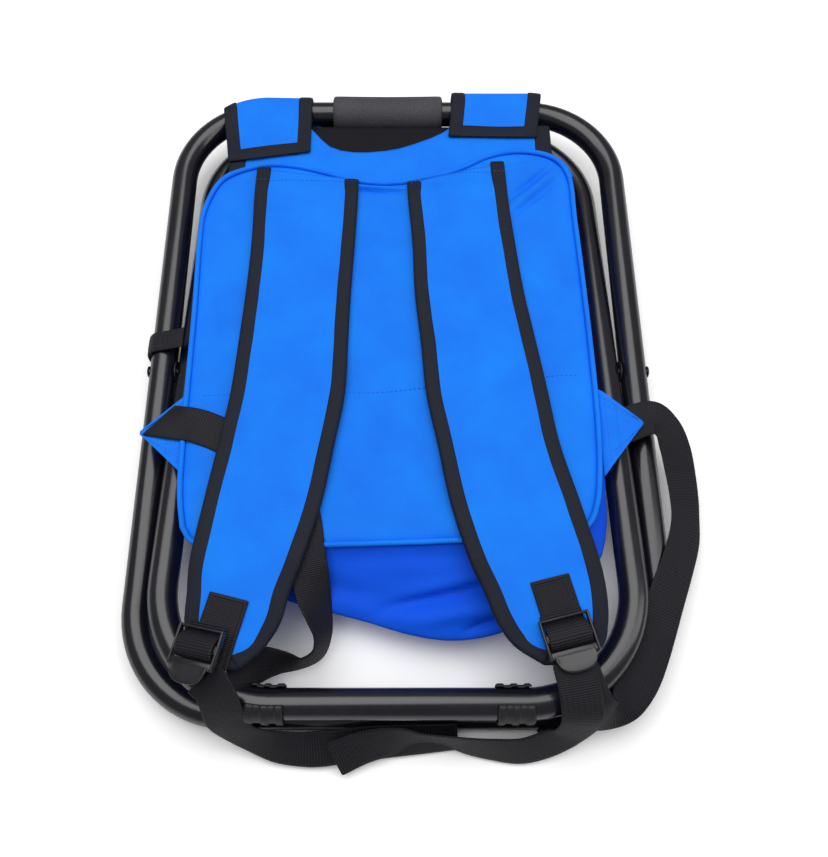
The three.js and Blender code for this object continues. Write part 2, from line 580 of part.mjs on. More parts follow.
// The bottom gusset sags outwards, most of all right of the middle
const bottomSectionShares = [
  [0, 0], [0.86, 0], [1, 0.12], [0.9, 0.3], [0.62, 0.58], [0.3, 0.82], [0, 1],
  [0, 0.955], [0.282, 0.786], [0.6, 0.55], [0.875, 0.274], [0.955, 0.135], [0.845, 0.04], [0, 0.04],
];
const bottomDepthShares = [
  [-0.8, 0.24], [-0.66, 0.38], [-0.44, 0.56], [-0.3, 0.65], [-0.14, 0.76], [0.07, 0.94], [0.2, 1], [0.28, 1],
  [0.42, 0.93], [0.5, 0.86], [0.66, 0.62], [0.8, 0.34],
];

function makeBottomGusset() {
  const height = gussetTop - FLOOR_GAP;
  const stations = bottomDepthShares.map(([x, depth]) => ({
    centre: new THREE.Vector3(x * BAG_HALF_WIDTH, BAG_BOTTOM - CLOTH_THICKNESS, FLOOR_GAP),
    across: new THREE.Vector3(0, -depth * BOTTOM_DEPTH, 0),
    up: new THREE.Vector3(0, 0, height),
  }));
  const section = bottomSectionShares.map(([out, rise]) => new THREE.Vector2(out, rise));
  addPiece('bottom_gusset', sweep(stations, section), blueCloth);
}

const zipY = BAG_TOP - CLOTH_THICKNESS - LID_DEPTH + (CLOTH_THICKNESS + ZIP_TAPE_THICKNESS) / 2 + CONTACT_GAP;

function makeZip() {
  const tapeWidth = ZIP_TAPE_WIDTH / 2;
  addPiece('zip_tape', box(ZIP_LENGTH, ZIP_TAPE_THICKNESS, tapeWidth, 0, zipY, gussetMiddle), blackWebbing);
  const sliderX = SLIDER_LENGTH - ZIP_LENGTH / 2;
  const sliderY = zipY + ZIP_TAPE_THICKNESS / 2 + CONTACT_GAP + SLIDER_HEIGHT / 2;
  const body = box(SLIDER_LENGTH, SLIDER_HEIGHT, SLIDER_WIDTH, sliderX, sliderY, gussetMiddle);
  addPiece('zip_slider', body, blackPlastic);
  const pullY = sliderY + SLIDER_HEIGHT / 2 + CONTACT_GAP + PULL_LENGTH / 2;
  addPiece('zip_pull', box(PULL_WIDTH, PULL_LENGTH, PULL_THICKNESS, sliderX, pullY, gussetMiddle), blackPlastic);
}

function makeSeat() {
  const clearance = GRIP_RADIUS + CONTACT_GAP;
  const standOff = clearance + SEAT_THICKNESS / 2;
  const outerY = outerReach - standOff;
  const innerY = innerReach - standOff;
  const foldShares = [[0, 1], [0.5, 1], [0.82, 0.93], [1, 0.5], [0.82, 0.07], [0.5, 0], [0, 0]];
  const rows = foldShares.map(([depth, rise]) => [
    THREE.MathUtils.lerp(rise > 0.5 ? outerY : innerY, outerReach - SEAT_FOLD_DEPTH, depth),
    THREE.MathUtils.lerp(innerTopZ, outerTopZ, rise),
    THREE.MathUtils.lerp(SEAT_INNER_HALF_WIDTH, SEAT_OUTER_HALF_WIDTH, Math.min(1, 2 * rise)),
  ]);
  const bars = [
    loopSolid(outerLoop, clearance).rotateX(outerTilt).translate(0, 0, pivotZ),
    loopSolid(innerLoop, clearance).rotateX(-innerTilt).translate(0, 0, pivotZ),
  ];
  addPiece('seat_cloth', cut(clothBand(rows, SEAT_THICKNESS), bars), blackCloth);
}

// Shoulder straps: rows of how far down the strap, and its left and right edges as shares of its width
const leftStrapShares = [
  [0, -0.5, 0.5], [0.171, -0.487, 0.474], [0.29, -0.5, 0.449], [0.404, -0.526, 0.436], [0.509, -0.551, 0.423],
  [0.61, -0.615, 0.346], [0.721, -0.692, 0.256], [0.827, -0.756, 0.115], [0.878, -0.75, 0.032],
  [0.927, -0.744, -0.026], [0.967, -0.692, -0.141], [1, -0.538, -0.308],
];
const rightStrapShares = [
  [0, -0.5, 0.5], [0.171, -0.436, 0.538], [0.29, -0.397, 0.59], [0.404, -0.346, 0.667], [0.509, -0.308, 0.731],
  [0.61, -0.218, 0.795], [0.721, -0.122, 0.923], [0.827, 0.026, 1.038], [0.878, 0.128, 1.064],
  [0.927, 0.218, 1.051], [0.962, 0.333, 1], [0.992, 0.551, 0.808],
];
const strapLiftStartShare = 0.4;
const strapLiftEndShare = 0.5;

function makeStrap(name, topX, rows) {
  const stations = rows.map(([down, left, right]) => {
    const lift = THREE.MathUtils.smoothstep(down, strapLiftStartShare, strapLiftEndShare);
    const base = THREE.MathUtils.lerp(strapBase, strapRaisedBase, lift);
    const x = topX + (left + right) / 2 * STRAP_WIDTH;
    return {
      centre: new THREE.Vector3(x, STRAP_TOP_Y - down * STRAP_LENGTH, base + STRAP_THICKNESS / 2),
      across: X_AXIS.clone().multiplyScalar((right - left) / 2 * STRAP_WIDTH),
      up: Z_AXIS.clone().multiplyScalar(STRAP_THICKNESS / 2),
    };
  });
  addPiece(name, sweep(stations, squareSection), blueCloth);
}

// Webbing rows: the place as shares of the frame's half width and half length and of the panel's
// height above the floor, then the direction that the webbing faces
const rightWebbingShares = [
  [0.817, -0.214, 0.91, 0, 0, 1], [0.889, -0.185, 0.91, 0, 0, 1], [0.967, -0.172, 0.89, 0.1, 0, 1],
  [1.033, -0.189, 0.81, 0.5, 0, 0.85], [1.078, -0.238, 0.6, 0.75, 0, 0.65], [1.106, -0.32, 0.39, 0.7, 0, 0.7],
  [1.111, -0.402, 0.26, 0.55, 0, 0.83], [1.106, -0.485, 0.25, 0.4, 0, 0.9], [1.072, -0.563, 0.39, 0.3, 0, 0.95],
  [1.017, -0.632, 0.55, 0.3, 0, 0.95], [0.967, -0.706, 0.58, 0.25, 0, 0.97], [0.928, -0.78, 0.58, 0.25, 0, 0.97],
  [0.894, -0.85, 0.56, 0.25, 0, 0.97], [0.85, -0.912, 0.54, 0.25, -0.1, 0.97], [0.789, -0.961, 0.54, 0.2, -0.3, 0.93],
  [0.717, -0.994, 0.65, 0.2, -0.8, 0.6], [0.656, -0.986, 0.88, 0.1, -0.6, 0.8], [0.622, -0.936, 1.06, 0, -0.2, 1],
  [0.594, -0.887, 1.185, 0, -0.3, 0.9], [0.572, -0.846, 1.2, 0, 0, 1], [0.556, -0.805, 1.2, 0, 0, 1],
];
const rightTailShares = [
  [0.567, -0.855, 1.25, 0, 0, 1], [0.583, -0.895, 1.245, 0, -0.2, 0.93], [0.6, -0.95, 1.17, 0, -0.45, 0.87],
  [0.615, -1.01, 1.02, 0, -0.8, 0.65], [0.611, -1.04, 0.74, 0, -0.97, 0.2], [0.589, -1.045, 0.43, 0.1, -0.95, 0.3],
  [0.539, -1.047, 0.29, 0.1, -0.8, 0.6], [0.467, -1.051, 0.26, 0, -0.78, 0.63], [0.378, -1.051, 0.3, 0, -0.8, 0.6],
  [0.289, -1.045, 0.37, 0, -0.85, 0.5], [0.2, -1.043, 0.4, 0, -0.85, 0.5], [0.111, -1.043, 0.4, 0, -0.8, 0.6],
  [0.022, -1.045, 0.36, 0, -0.72, 0.7], [-0.078, -1.051, 0.33, 0, -0.66, 0.75], [-0.161, -1.068, 0.29, 0, -0.6, 0.8],
  [-0.233, -1.084, 0.25, 0, -0.55, 0.83],
];
const leftWebbingShares = [
  [-0.895, -0.193, 1.02, 0, 0, 1], [-0.839, -0.203, 1.02, 0, 0, 1], [-0.761, -0.214, 1.02, 0, 0, 1],
  [-0.656, -0.246, 1.02, 0, 0, 1], [-0.544, -0.279, 1.02, 0, 0, 1], [-0.444, -0.329, 1.02, 0, 0, 1],
  [-0.378, -0.402, 1.021, 0, 0, 1], [-0.344, -0.485, 1.021, 0, 0, 1], [-0.328, -0.555, 1.021, 0, 0, 1],
  [-0.318, -0.6, 1.008, 0.03, 0, 1], [-0.3, -0.65, 0.86, 0.45, -0.1, 0.87], [-0.278, -0.705, 0.7, 0.8, -0.1, 0.6],
  [-0.264, -0.752, 0.62, 0.9, -0.3, 0.4], [-0.28, -0.795, 0.61, 0.6, -0.75, 0.3], [-0.333, -0.822, 0.66, 0, -0.9, 0.4],
  [-0.411, -0.828, 0.76, 0, -0.65, 0.75], [-0.489, -0.832, 0.87, 0, -0.4, 0.9], [-0.561, -0.836, 0.98, 0, -0.1, 1],
  [-0.6, -0.838, 1.01, 0, 0, 1],
];
const leftTailShares = [
  [-0.662, -0.907, 1.255, -0.31, 0, 0.95], [-0.66, -0.93, 1.215, -0.25, -0.25, 0.92],
  [-0.642, -0.955, 1.135, -0.1, -0.45, 0.9],
  [-0.617, -0.975, 1.05, 0, -0.6, 0.8], [-0.606, -1.012, 0.9, 0, -0.85, 0.5], [-0.594, -1.033, 0.67, 0, -0.98, 0.15],
  [-0.572, -1.041, 0.41, 0, -0.95, 0.3], [-0.522, -1.045, 0.28, 0, -0.85, 0.5], [-0.444, -1.055, 0.23, 0, -0.68, 0.73],
  [-0.356, -1.06, 0.2, 0, -0.62, 0.78], [-0.256, -1.062, 0.18, 0, -0.56, 0.83], [-0.156, -1.062, 0.17, 0, -0.5, 0.86],
  [-0.044, -1.055, 0.17, 0, -0.5, 0.86], [0.067, -1.051, 0.17, 0, -0.5, 0.86], [0.206, -1.049, 0.17, 0, -0.5, 0.86],
];
const tieShares = [
  [-0.852, 0.078, 0.905, 0, 0, 1], [-0.892, 0.078, 0.84, -0.2, 0, 0.97], [-0.944, 0.078, 0.777, -0.1, 0, 1],
  [-0.984, 0.078, 0.722, -0.5, 0, 0.8], [-1.011, 0.077, 0.59, -0.92, 0, 0.4], [-1.014, 0.076, 0.44, -1, 0, -0.05],
  [-1.01, 0.074, 0.3, -0.95, 0, -0.3],
];

function ribbon(rows, width) {
  const scale = new THREE.Vector3(FRAME_WIDTH / 2, OUTER_LENGTH / 2, backPanelTop);
  const route = new THREE.CatmullRomCurve3(rows.map(([x, y, z]) => new THREE.Vector3(x, y, z).multiply(scale)));
  const facing = new THREE.CatmullRomCurve3(rows.map((row) => new THREE.Vector3(...row.slice(3)).normalize()));
  const steps = 2 * (rows.length - 1);
  const stations = [];
  for (let step = 0; step <= steps; step += 1) {
    const share = step / steps;
    const along = route.getTangent(share);
    const across = along.clone().cross(facing.getPoint(share)).normalize();
    stations.push({
      centre: route.getPoint(share),
      across: across.clone().multiplyScalar(width / 2),
      up: across.cross(along).multiplyScalar(WEBBING_THICKNESS / 2),
    });
  }
  return sweep(stations, squareSection);
}

function makeWebbing() {
  addPiece('lower_webbing_right', ribbon(rightWebbingShares, WEBBING_WIDTH), blackWebbing);
  addPiece('lower_webbing_left', ribbon(leftWebbingShares, WEBBING_WIDTH), blackWebbing);
  addPiece('webbing_tail_right', ribbon(rightTailShares, WEBBING_WIDTH), blackWebbing);
  addPiece('webbing_tail_left', ribbon(leftTailShares, WEBBING_WIDTH), blackWebbing);
  addPiece('tie_strap', ribbon(tieShares, TIE_WIDTH), blackWebbing);
}

function makeTabs() {
  const seam = PANEL_WIDTH / 2 + 2 * PIPING_RADIUS + 4 * CONTACT_GAP;
  const tabBase = backPanelTop - PIPING_RADIUS - TAB_THICKNESS / 2;
  for (const [side, sign] of [['left', -1], ['right', 1]]) {
    const baseX = PANEL_CENTRE_X + sign * seam;
    const outline = [
      new THREE.Vector2(baseX, TAB_CENTRE_Y - TAB_BASE / 2),
      new THREE.Vector2(baseX + sign * TAB_REACH, TAB_CENTRE_Y + WEBBING_THICKNESS),
      new THREE.Vector2(baseX, TAB_CENTRE_Y + TAB_BASE / 2),
    ];
    addPiece(`webbing_tab_${side}`, plate(outline, tabBase, TAB_THICKNESS), blueCloth);
  }
}

function ladderLock() {
  const frame = box(BUCKLE_WIDTH, BUCKLE_LENGTH, BUCKLE_THICKNESS, 0, 0, 0);
  const slots = [1, -1].map((sign) => box(WEBBING_WIDTH + 2 * CONTACT_GAP, BUCKLE_SLOT_WIDTH,
    BUCKLE_THICKNESS + CUT_OVERRUN, 0, sign * BUCKLE_SLOT_OFFSET, 0));
  const tongueShape = new THREE.Shape();
  const half = WEBBING_WIDTH / 2;
  tongueShape.moveTo(-half, -BUCKLE_LENGTH / 2 + BUCKLE_TONGUE_THICKNESS);
  tongueShape.lineTo(-half, -BUCKLE_LENGTH / 2);
  tongueShape.quadraticCurveTo(-half, -BUCKLE_LENGTH / 2 - BUCKLE_TONGUE_LENGTH, 0,
    -BUCKLE_LENGTH / 2 - BUCKLE_TONGUE_LENGTH);
  tongueShape.quadraticCurveTo(half, -BUCKLE_LENGTH / 2 - BUCKLE_TONGUE_LENGTH, half, -BUCKLE_LENGTH / 2);
  tongueShape.lineTo(half, -BUCKLE_LENGTH / 2 + BUCKLE_TONGUE_THICKNESS);
  const tongue = plate(tongueShape, BUCKLE_THICKNESS / 2 - BUCKLE_TONGUE_THICKNESS, BUCKLE_TONGUE_THICKNESS);
  return union([cut(frame, slots), tongue]);
}

function makeAdjusters() {
  const patch = box(WEBBING_WIDTH, PATCH_LENGTH, PATCH_THICKNESS, 0, 0, 0);
  const buckleZ = buckleBase + BUCKLE_THICKNESS / 2;
  const rightPatch = addPiece('strap_patch_right', patch, blackWebbing);
  rightPatch.position.set(RIGHT_PATCH_X, RIGHT_PATCH_Y, patchBase + PATCH_THICKNESS / 2);
  rightPatch.rotation.z = PATCH_YAW;
  const leftPatch = addPiece('strap_patch_left', patch, blackWebbing);
  leftPatch.position.set(LEFT_PATCH_X, LEFT_PATCH_Y, patchBase + PATCH_THICKNESS / 2);
  leftPatch.rotation.z = -PATCH_YAW;
  const rightBuckle = addPiece('ladder_lock_right', ladderLock(), blackPlastic);
  rightBuckle.position.set(RIGHT_BUCKLE_X, RIGHT_BUCKLE_Y, buckleZ);
  rightBuckle.rotation.z = PATCH_YAW;
  const leftBuckle = addPiece('ladder_lock_left', ladderLock(), blackPlastic);
  leftBuckle.position.set(LEFT_BUCKLE_X, LEFT_BUCKLE_Y, buckleZ + LEFT_BUCKLE_LIFT);
  leftBuckle.rotation.set(0, LEFT_BUCKLE_ROLL, -PATCH_YAW);
}

makeLoops();
makeGrip();
makeFeet();
makePivots();
makeFlaps();
makeBackPanel();
makeYokes();
makeFrontPanelAndLining();
makeSidesAndLid();
makeBottomGusset();
makeZip();
makeSeat();
makeStrap('shoulder_strap_left', LEFT_STRAP_X, leftStrapShares);
makeStrap('shoulder_strap_right', RIGHT_STRAP_X, rightStrapShares);
makeWebbing();
makeTabs();
makeAdjusters();

export default stool;
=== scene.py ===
"""Looks of the folding cooler stool: it lies folded on a pale floor, with its shoulder straps upwards.

The classes below work in millimetres, and a finished mesh is scaled to metres. Z is up, the origin is on
the floor under the pivot line, and +Y runs to the bar with the foam grip.
"""

import logging
import math
from dataclasses import dataclass, field
from enum import Enum
from typing import Callable, Sequence, Union

import bmesh
import bpy
from mathutils import Matrix, Vector, noise


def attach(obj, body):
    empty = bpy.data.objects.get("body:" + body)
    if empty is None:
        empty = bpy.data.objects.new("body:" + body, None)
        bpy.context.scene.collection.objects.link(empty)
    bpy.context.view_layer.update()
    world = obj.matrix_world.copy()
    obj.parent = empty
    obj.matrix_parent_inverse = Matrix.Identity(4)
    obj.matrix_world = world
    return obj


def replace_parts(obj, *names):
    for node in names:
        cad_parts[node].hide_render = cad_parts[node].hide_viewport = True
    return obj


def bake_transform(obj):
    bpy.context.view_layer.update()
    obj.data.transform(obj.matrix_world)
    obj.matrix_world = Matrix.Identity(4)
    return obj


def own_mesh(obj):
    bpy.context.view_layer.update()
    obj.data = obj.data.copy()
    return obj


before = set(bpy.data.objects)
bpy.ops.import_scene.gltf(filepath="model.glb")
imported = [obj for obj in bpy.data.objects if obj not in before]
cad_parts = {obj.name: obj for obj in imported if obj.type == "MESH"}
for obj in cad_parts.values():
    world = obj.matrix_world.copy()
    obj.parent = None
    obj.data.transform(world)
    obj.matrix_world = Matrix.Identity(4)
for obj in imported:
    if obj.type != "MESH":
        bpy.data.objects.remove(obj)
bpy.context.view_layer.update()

MM = 0.001
WELD = 0.002
NEAR = 0.002
FULL_TURN = 2 * math.pi
UP = Vector((0, 0, 1))

Place = Callable[[float, float], Vector]
Triple = tuple[float, float, float]
Piece = bpy.types.Object
Socket = bpy.types.NodeSocket
Value = Union[Socket, float]
log = logging.getLogger("cooler_stool")


def smoothstep(value: float, low: float, high: float) -> float:
    """Smooth rise from 0 at low to 1 at high."""
    share = min(1.0, max(0.0, (value - low) / (high - low)))
    return share * share * (3 - 2 * share)


def lerp(first: float, last: float, share: float) -> float:
    """Straight mix of two numbers."""
    return first + (last - first) * share


def table_value(table: Sequence[tuple[float, float]], value: float) -> float:
    """Reads a table of (place, amount) rows, straight between them.

    Args:
        table: rows in rising order of place.
        value: the place that is asked for.

    Returns:
        The amount there, held at the ends.
    """
    if value <= table[0][0]:
        return table[0][1]
    for (low, before), (high, after) in zip(table, table[1:]):
        if value <= high:
            return lerp(before, after, (value - low) / (high - low))
    return table[-1][1]


class Texture(Enum):
    """Kinds of surface detail."""

    WEAVE = "weave"
    WEBBING = "webbing"
    TAPE = "tape"
    THREAD = "thread"
    CELLS = "cells"
    PAINT = "paint"
    MOULDED = "moulded"
    METAL = "metal"
    FILM = "film"
    HOOKS = "hooks"


class Nodes:
    """Adds and joins the nodes of one material."""

    def __init__(self, tree: bpy.types.NodeTree) -> None:
        """Keeps the tree that the nodes go into."""
        self.tree = tree

    def add(self, kind: str, values: dict | None = None, **settings: object) -> bpy.types.Node:
        """Adds a node.

        Args:
            kind: the node's type without its ShaderNode prefix.
            values: input name or index to a value or an output socket.
            settings: properties of the node itself.

        Returns:
            The new node.
        """
        node = self.tree.nodes.new("ShaderNode" + kind)
        for name, value in settings.items():
            setattr(node, name, value)
        for name, value in (values or {}).items():
            if isinstance(value, bpy.types.NodeSocket):
                self.tree.links.new(value, node.inputs[name])
            else:
                node.inputs[name].default_value = value
        return node

    def math(self, operation: str, first: Value, second: Value = 0.0) -> Socket:
        """Output of a Math node."""
        return self.add("Math", {0: first, 1: second}, operation=operation).outputs[0]

    def wave(self, value: Value, pitch: float) -> Socket:
        """A sine of that pitch between 0 and 1."""
        turned = self.math("SINE", self.math("MULTIPLY", value, FULL_TURN / pitch))
        return self.math("MULTIPLY_ADD", turned, 0.5)

    def noise(self, vector: Socket, size: float, detail: float = 2.0,
              stretch: Triple | None = None) -> Socket:
        """Noise whose blots are about size metres wide.

        Args:
            vector: the coordinates in metres.
            size: the width of a blot.
            detail: how many finer layers it has.
            stretch: factors on the coordinates, for drawn-out blots.

        Returns:
            Its output, about 0 to 1.
        """
        if stretch:
            vector = self.add("VectorMath", {0: vector, 1: stretch}, operation="MULTIPLY").outputs[0]
        values = {"Vector": vector, "Scale": 1 / size, "Detail": detail, "Roughness": 0.55}
        return self.add("TexNoise", values).outputs[0]

    def cells(self, vector: Socket, size: float) -> Socket:
        """Distance to the middle of cells of that size."""
        return self.add("TexVoronoi", {"Vector": vector, "Scale": 1 / size}).outputs["Distance"]

    def mix(self, *parts: tuple[Value, float]) -> Socket:
        """Weighted sum.

        Args:
            parts: pairs of a value and its weight.

        Returns:
            The sum.
        """
        total = 0.0
        for value, weight in parts:
            total = self.math("ADD", total, self.math("MULTIPLY", value, weight))
        return total


@dataclass(frozen=True)
class Finish:
    """One procedural finish, with a real scale in metres."""

    name: str
    slot: str
    texture: Texture
    dark: Triple
    light: Triple
    roughness: tuple[float, float]
    pitch: float
    bump: float
    crumple: float = 0.0
    metallic: float = 0.0
    coat: float = 0.0
    sheen: float = 0.0
    specular: float = 0.5
    on_uv: bool = True

    def pattern(self, nodes: Nodes, vector: Socket) -> tuple[Socket, Socket]:
        """Builds the fine pattern.

        Args:
            nodes: the material's nodes.
            vector: the coordinates in metres.

        Returns:
            The pattern for the colour and the one for the height, both about 0 to 1.
        """
        mix, pitch, texture = nodes.mix, self.pitch, self.texture
        x, y = nodes.add("SeparateXYZ", {0: vector}).outputs[:2]
        fine = nodes.noise(vector, pitch * 1.4)
        broad = nodes.noise(vector, 0.045, 3.0)
        if texture in (Texture.WEAVE, Texture.HOOKS):
            dots = nodes.math("MULTIPLY", nodes.wave(x, pitch), nodes.wave(y, pitch))
            if texture is Texture.HOOKS:
                return mix((dots, 0.7), (fine, 0.3)), mix((dots, 0.8), (fine, 0.3))
            slubs = nodes.noise(vector, pitch * 2, 2.0, (1.0, 9.0, 1.0))
            threads = nodes.noise(vector, pitch * 2, 2.0, (9.0, 1.0, 1.0))
            colour = mix((dots, 0.2), (slubs, 0.2), (threads, 0.2), (broad, 0.5))
            return colour, mix((dots, 0.7), (fine, 0.2), (slubs, 0.15))
        if texture in (Texture.WEBBING, Texture.TAPE):
            ends = nodes.wave(x, pitch * (1.1 if texture is Texture.TAPE else 2.2))
            height = nodes.math("MULTIPLY", nodes.wave(y, pitch), mix((ends, 0.35), (1.0, 0.65)))
            return mix((height, 0.6), (fine, 0.25), (broad, 0.25)), height
        if texture is Texture.THREAD:
            twist = nodes.wave(nodes.math("ADD", x, y), pitch)
            return mix((twist, 0.6), (fine, 0.4)), twist
        if texture is Texture.CELLS:
            cells = nodes.cells(vector, pitch)
            return mix((cells, 0.45), (broad, 0.35), (fine, 0.25)), cells
        if texture is Texture.FILM:
            folds = nodes.cells(vector, pitch)
            return mix((folds, 0.5), (broad, 0.5)), folds
        if texture is Texture.PAINT:
            scuffs = nodes.noise(vector, 0.004, 4.0, (1.0, 0.15, 1.0))
            return mix((broad, 0.6), (scuffs, 0.4)), mix((fine, 0.8), (scuffs, 0.1))
        if texture is Texture.METAL:
            drawn = nodes.noise(vector, pitch, 2.0, (14.0, 1.0, 1.0))
            return mix((drawn, 0.6), (broad, 0.4)), drawn
        return mix((fine, 0.4), (broad, 0.6)), fine

    def material(self) -> bpy.types.Material:
        """Gives the material, which it makes once.

        Returns:
            The material of this finish.
        """
        made = bpy.data.materials.get(self.name)
        if made:
            return made
        made = bpy.data.materials.new(self.name)
        made.use_nodes = True
        nodes = Nodes(made.node_tree)
        place = nodes.add("TexCoord")
        colour, height = self.pattern(nodes, place.outputs["UV" if self.on_uv else "Object"])
        ramp = nodes.add("ValToRGB", {0: colour})
        low, high = ramp.color_ramp.elements
        low.color, low.position = (*self.dark, 1), 0.25
        high.color, high.position = (*self.light, 1), 0.8
        gloss = {0: colour, 1: 0.2, 2: 0.85, 3: self.roughness[0], 4: self.roughness[1]}
        bump = nodes.add("Bump", {"Height": height, "Distance": self.bump, "Strength": 1.0})
        if self.crumple:
            folds = nodes.noise(place.outputs["Object"], 0.03)
            bump = nodes.add("Bump", {"Height": folds, "Distance": self.crumple, "Strength": 1.0,
                                      "Normal": bump.outputs[0]})
        shader = made.node_tree.nodes["Principled BSDF"]
        for name, node in (("Base Color", ramp), ("Roughness", nodes.add("MapRange", gloss)),
                           ("Normal", bump)):
            made.node_tree.links.new(node.outputs[0], shader.inputs[name])
        for name, value in (("Metallic", self.metallic), ("Coat Weight", self.coat),
                            ("Coat Roughness", 0.14), ("Sheen Weight", self.sheen),
                            ("Sheen Roughness", 0.4), ("Specular IOR Level", self.specular)):
            shader.inputs[name].default_value = value
        return made


BLUE_CLOTH = Finish(
    "blue_oxford_cloth", "blue_cloth", Texture.WEAVE, (0.0018, 0.13, 0.8), (0.006, 0.268, 1.0),
    (0.6, 0.78), 0.0009, 0.00011, 0.0018, specular=0.18)
# The same blue cloth, darkened and made less green as painted shade for the gussets, side walls and lid
# halves.
BLUE_CLOTH_PAINTED_SHADE = Finish(
    "blue_cloth_painted_shade", "blue_cloth", Texture.WEAVE, (0.0012, 0.07, 0.72), (0.0034, 0.118, 0.88),
    (0.6, 0.78), 0.0009, 0.00011, 0.0013, specular=0.15)
BLACK_CLOTH = Finish(
    "black_seat_cloth", "black_cloth", Texture.WEAVE, (0.003, 0.003, 0.006), (0.009, 0.009, 0.015),
    (0.7, 0.85), 0.001, 0.00014, 0.0012, sheen=0.02, specular=0.25)
BLACK_TAPE = Finish(
    "black_binding_tape", "black_webbing", Texture.TAPE, (0.003, 0.004, 0.009), (0.016, 0.02, 0.038),
    (0.6, 0.78), 0.0009, 0.00008, 0.0006, sheen=0.02, specular=0.25)
BLACK_WEBBING = Finish(
    "black_webbing_weave", "black_webbing", Texture.WEBBING, (0.002, 0.002, 0.004),
    (0.016, 0.0155, 0.024), (0.5, 0.7), 0.0014, 0.00026, sheen=0.02, specular=0.3)
BLUE_THREAD = Finish(
    "blue_sewing_thread", "blue_cloth", Texture.THREAD, (0.005, 0.075, 0.5), (0.012, 0.15, 0.8),
    (0.5, 0.65), 0.0004, 0.00005, on_uv=False)
# Black sewing thread, lightened as a painted highlight on the patches' raised stitched borders.
BLACK_THREAD_PAINTED_HIGHLIGHT = Finish(
    "black_thread_painted_highlight", "black_cloth", Texture.THREAD, (0.008, 0.008, 0.012), (0.06, 0.06, 0.075),
    (0.5, 0.65), 0.0004, 0.00005, on_uv=False)
TUBE_PAINT = Finish(
    "black_powder_coat", "painted_tube", Texture.PAINT, (0.004, 0.004, 0.0075), (0.01, 0.0105, 0.018),
    (0.2, 0.3), 0.0012, 0.00001, coat=0.3, specular=0.6, on_uv=False)
RIVET_STEEL = Finish(
    "black_nickel_steel", "rivet_steel", Texture.METAL, (0.1, 0.1, 0.11), (0.24, 0.24, 0.26),
    (0.2, 0.36), 0.0006, 0.00001, metallic=1.0, on_uv=False)
NYLON = Finish(
    "black_nylon", "nylon_washer", Texture.MOULDED, (0.008, 0.008, 0.01), (0.022, 0.022, 0.026),
    (0.4, 0.55), 0.0008, 0.00002, on_uv=False)
GRIP_FOAM = Finish(
    "grey_foam_rubber", "grip_foam", Texture.CELLS, (0.024, 0.024, 0.029), (0.085, 0.085, 0.098),
    (0.62, 0.8), 0.0008, 0.00014, specular=0.4, on_uv=False)
FOOT_RUBBER = Finish(
    "black_foot_rubber", "black_rubber", Texture.MOULDED, (0.005, 0.005, 0.008), (0.016, 0.016, 0.021),
    (0.45, 0.62), 0.0007, 0.00005, on_uv=False)
BUCKLE_PLASTIC = Finish(
    "black_acetal", "black_plastic", Texture.MOULDED, (0.006, 0.006, 0.009), (0.02, 0.02, 0.026),
    (0.24, 0.34), 0.004, 0.000008, specular=0.6, on_uv=False)
WHITE_FOAM = Finish(
    "white_sheet_foam", "white_foam", Texture.CELLS, (0.62, 0.62, 0.6), (0.82, 0.82, 0.8), (0.6, 0.8),
    0.0016, 0.0002, on_uv=False)
SILVER_LINER = Finish(
    "silver_liner_film", "silver_liner", Texture.FILM, (0.42, 0.43, 0.44), (0.72, 0.73, 0.74),
    (0.22, 0.42), 0.009, 0.0009, metallic=0.85, on_uv=False)
HOOK_TAPE = Finish(
    "black_hook_tape", "hook_tape", Texture.HOOKS, (0.004, 0.004, 0.006), (0.022, 0.022, 0.028),
    (0.7, 0.9), 0.0011, 0.0004)


class Route:
    """A smooth line through points, with centripetal steps as in the CAD model."""

    def __init__(self, points: Sequence[Sequence[float]]) -> None:
        """Keeps the points, and a guessed one before the first and after the last.

        Args:
            points: the places that the line runs through.
        """
        real = [Vector(point) for point in points]
        self.points = [2 * real[0] - real[1], *real, 2 * real[-1] - real[-2]]
        self.known: dict[float, Vector] = {}

    def at(self, share: float) -> Vector:
        """The point at a share of the line, counted in its points.

        Args:
            share: from 0 at the first point to 1 at the last.

        Returns:
            The point there.
        """
        if share in self.known:
            return self.known[share]
        spans = len(self.points) - 3
        place = min(max(share, 0.0), 1.0) * spans
        index = min(int(place), spans - 1)
        weight = place - index
        a, b, c, d = self.points[index:index + 4]
        before, middle, after = ((q - p).length ** 0.5 or 1.0 for p, q in ((a, b), (b, c), (c, d)))
        start = ((b - a) / before - (c - a) / (before + middle) + (c - b) / middle) * middle
        end = ((c - b) / middle - (d - b) / (middle + after) + (d - c) / after) * middle
        found = (b + start * weight + (3 * (c - b) - 2 * start - end) * weight ** 2
                 + (2 * (b - c) + start + end) * weight ** 3)
        self.known[share] = found
        return found

    def along(self, share: float) -> Vector:
        """The line's direction at a share."""
        return (self.at(min(1.0, share + NEAR)) - self.at(max(0.0, share - NEAR))).normalized()

    def length(self) -> float:
        """The line's length."""
        points = self.trace(160)
        return sum((after - before).length for before, after in zip(points, points[1:]))

    def trace(self, steps: int) -> list[Vector]:
        """Points all along the line."""
        return [self.at(step / steps) for step in range(steps + 1)]


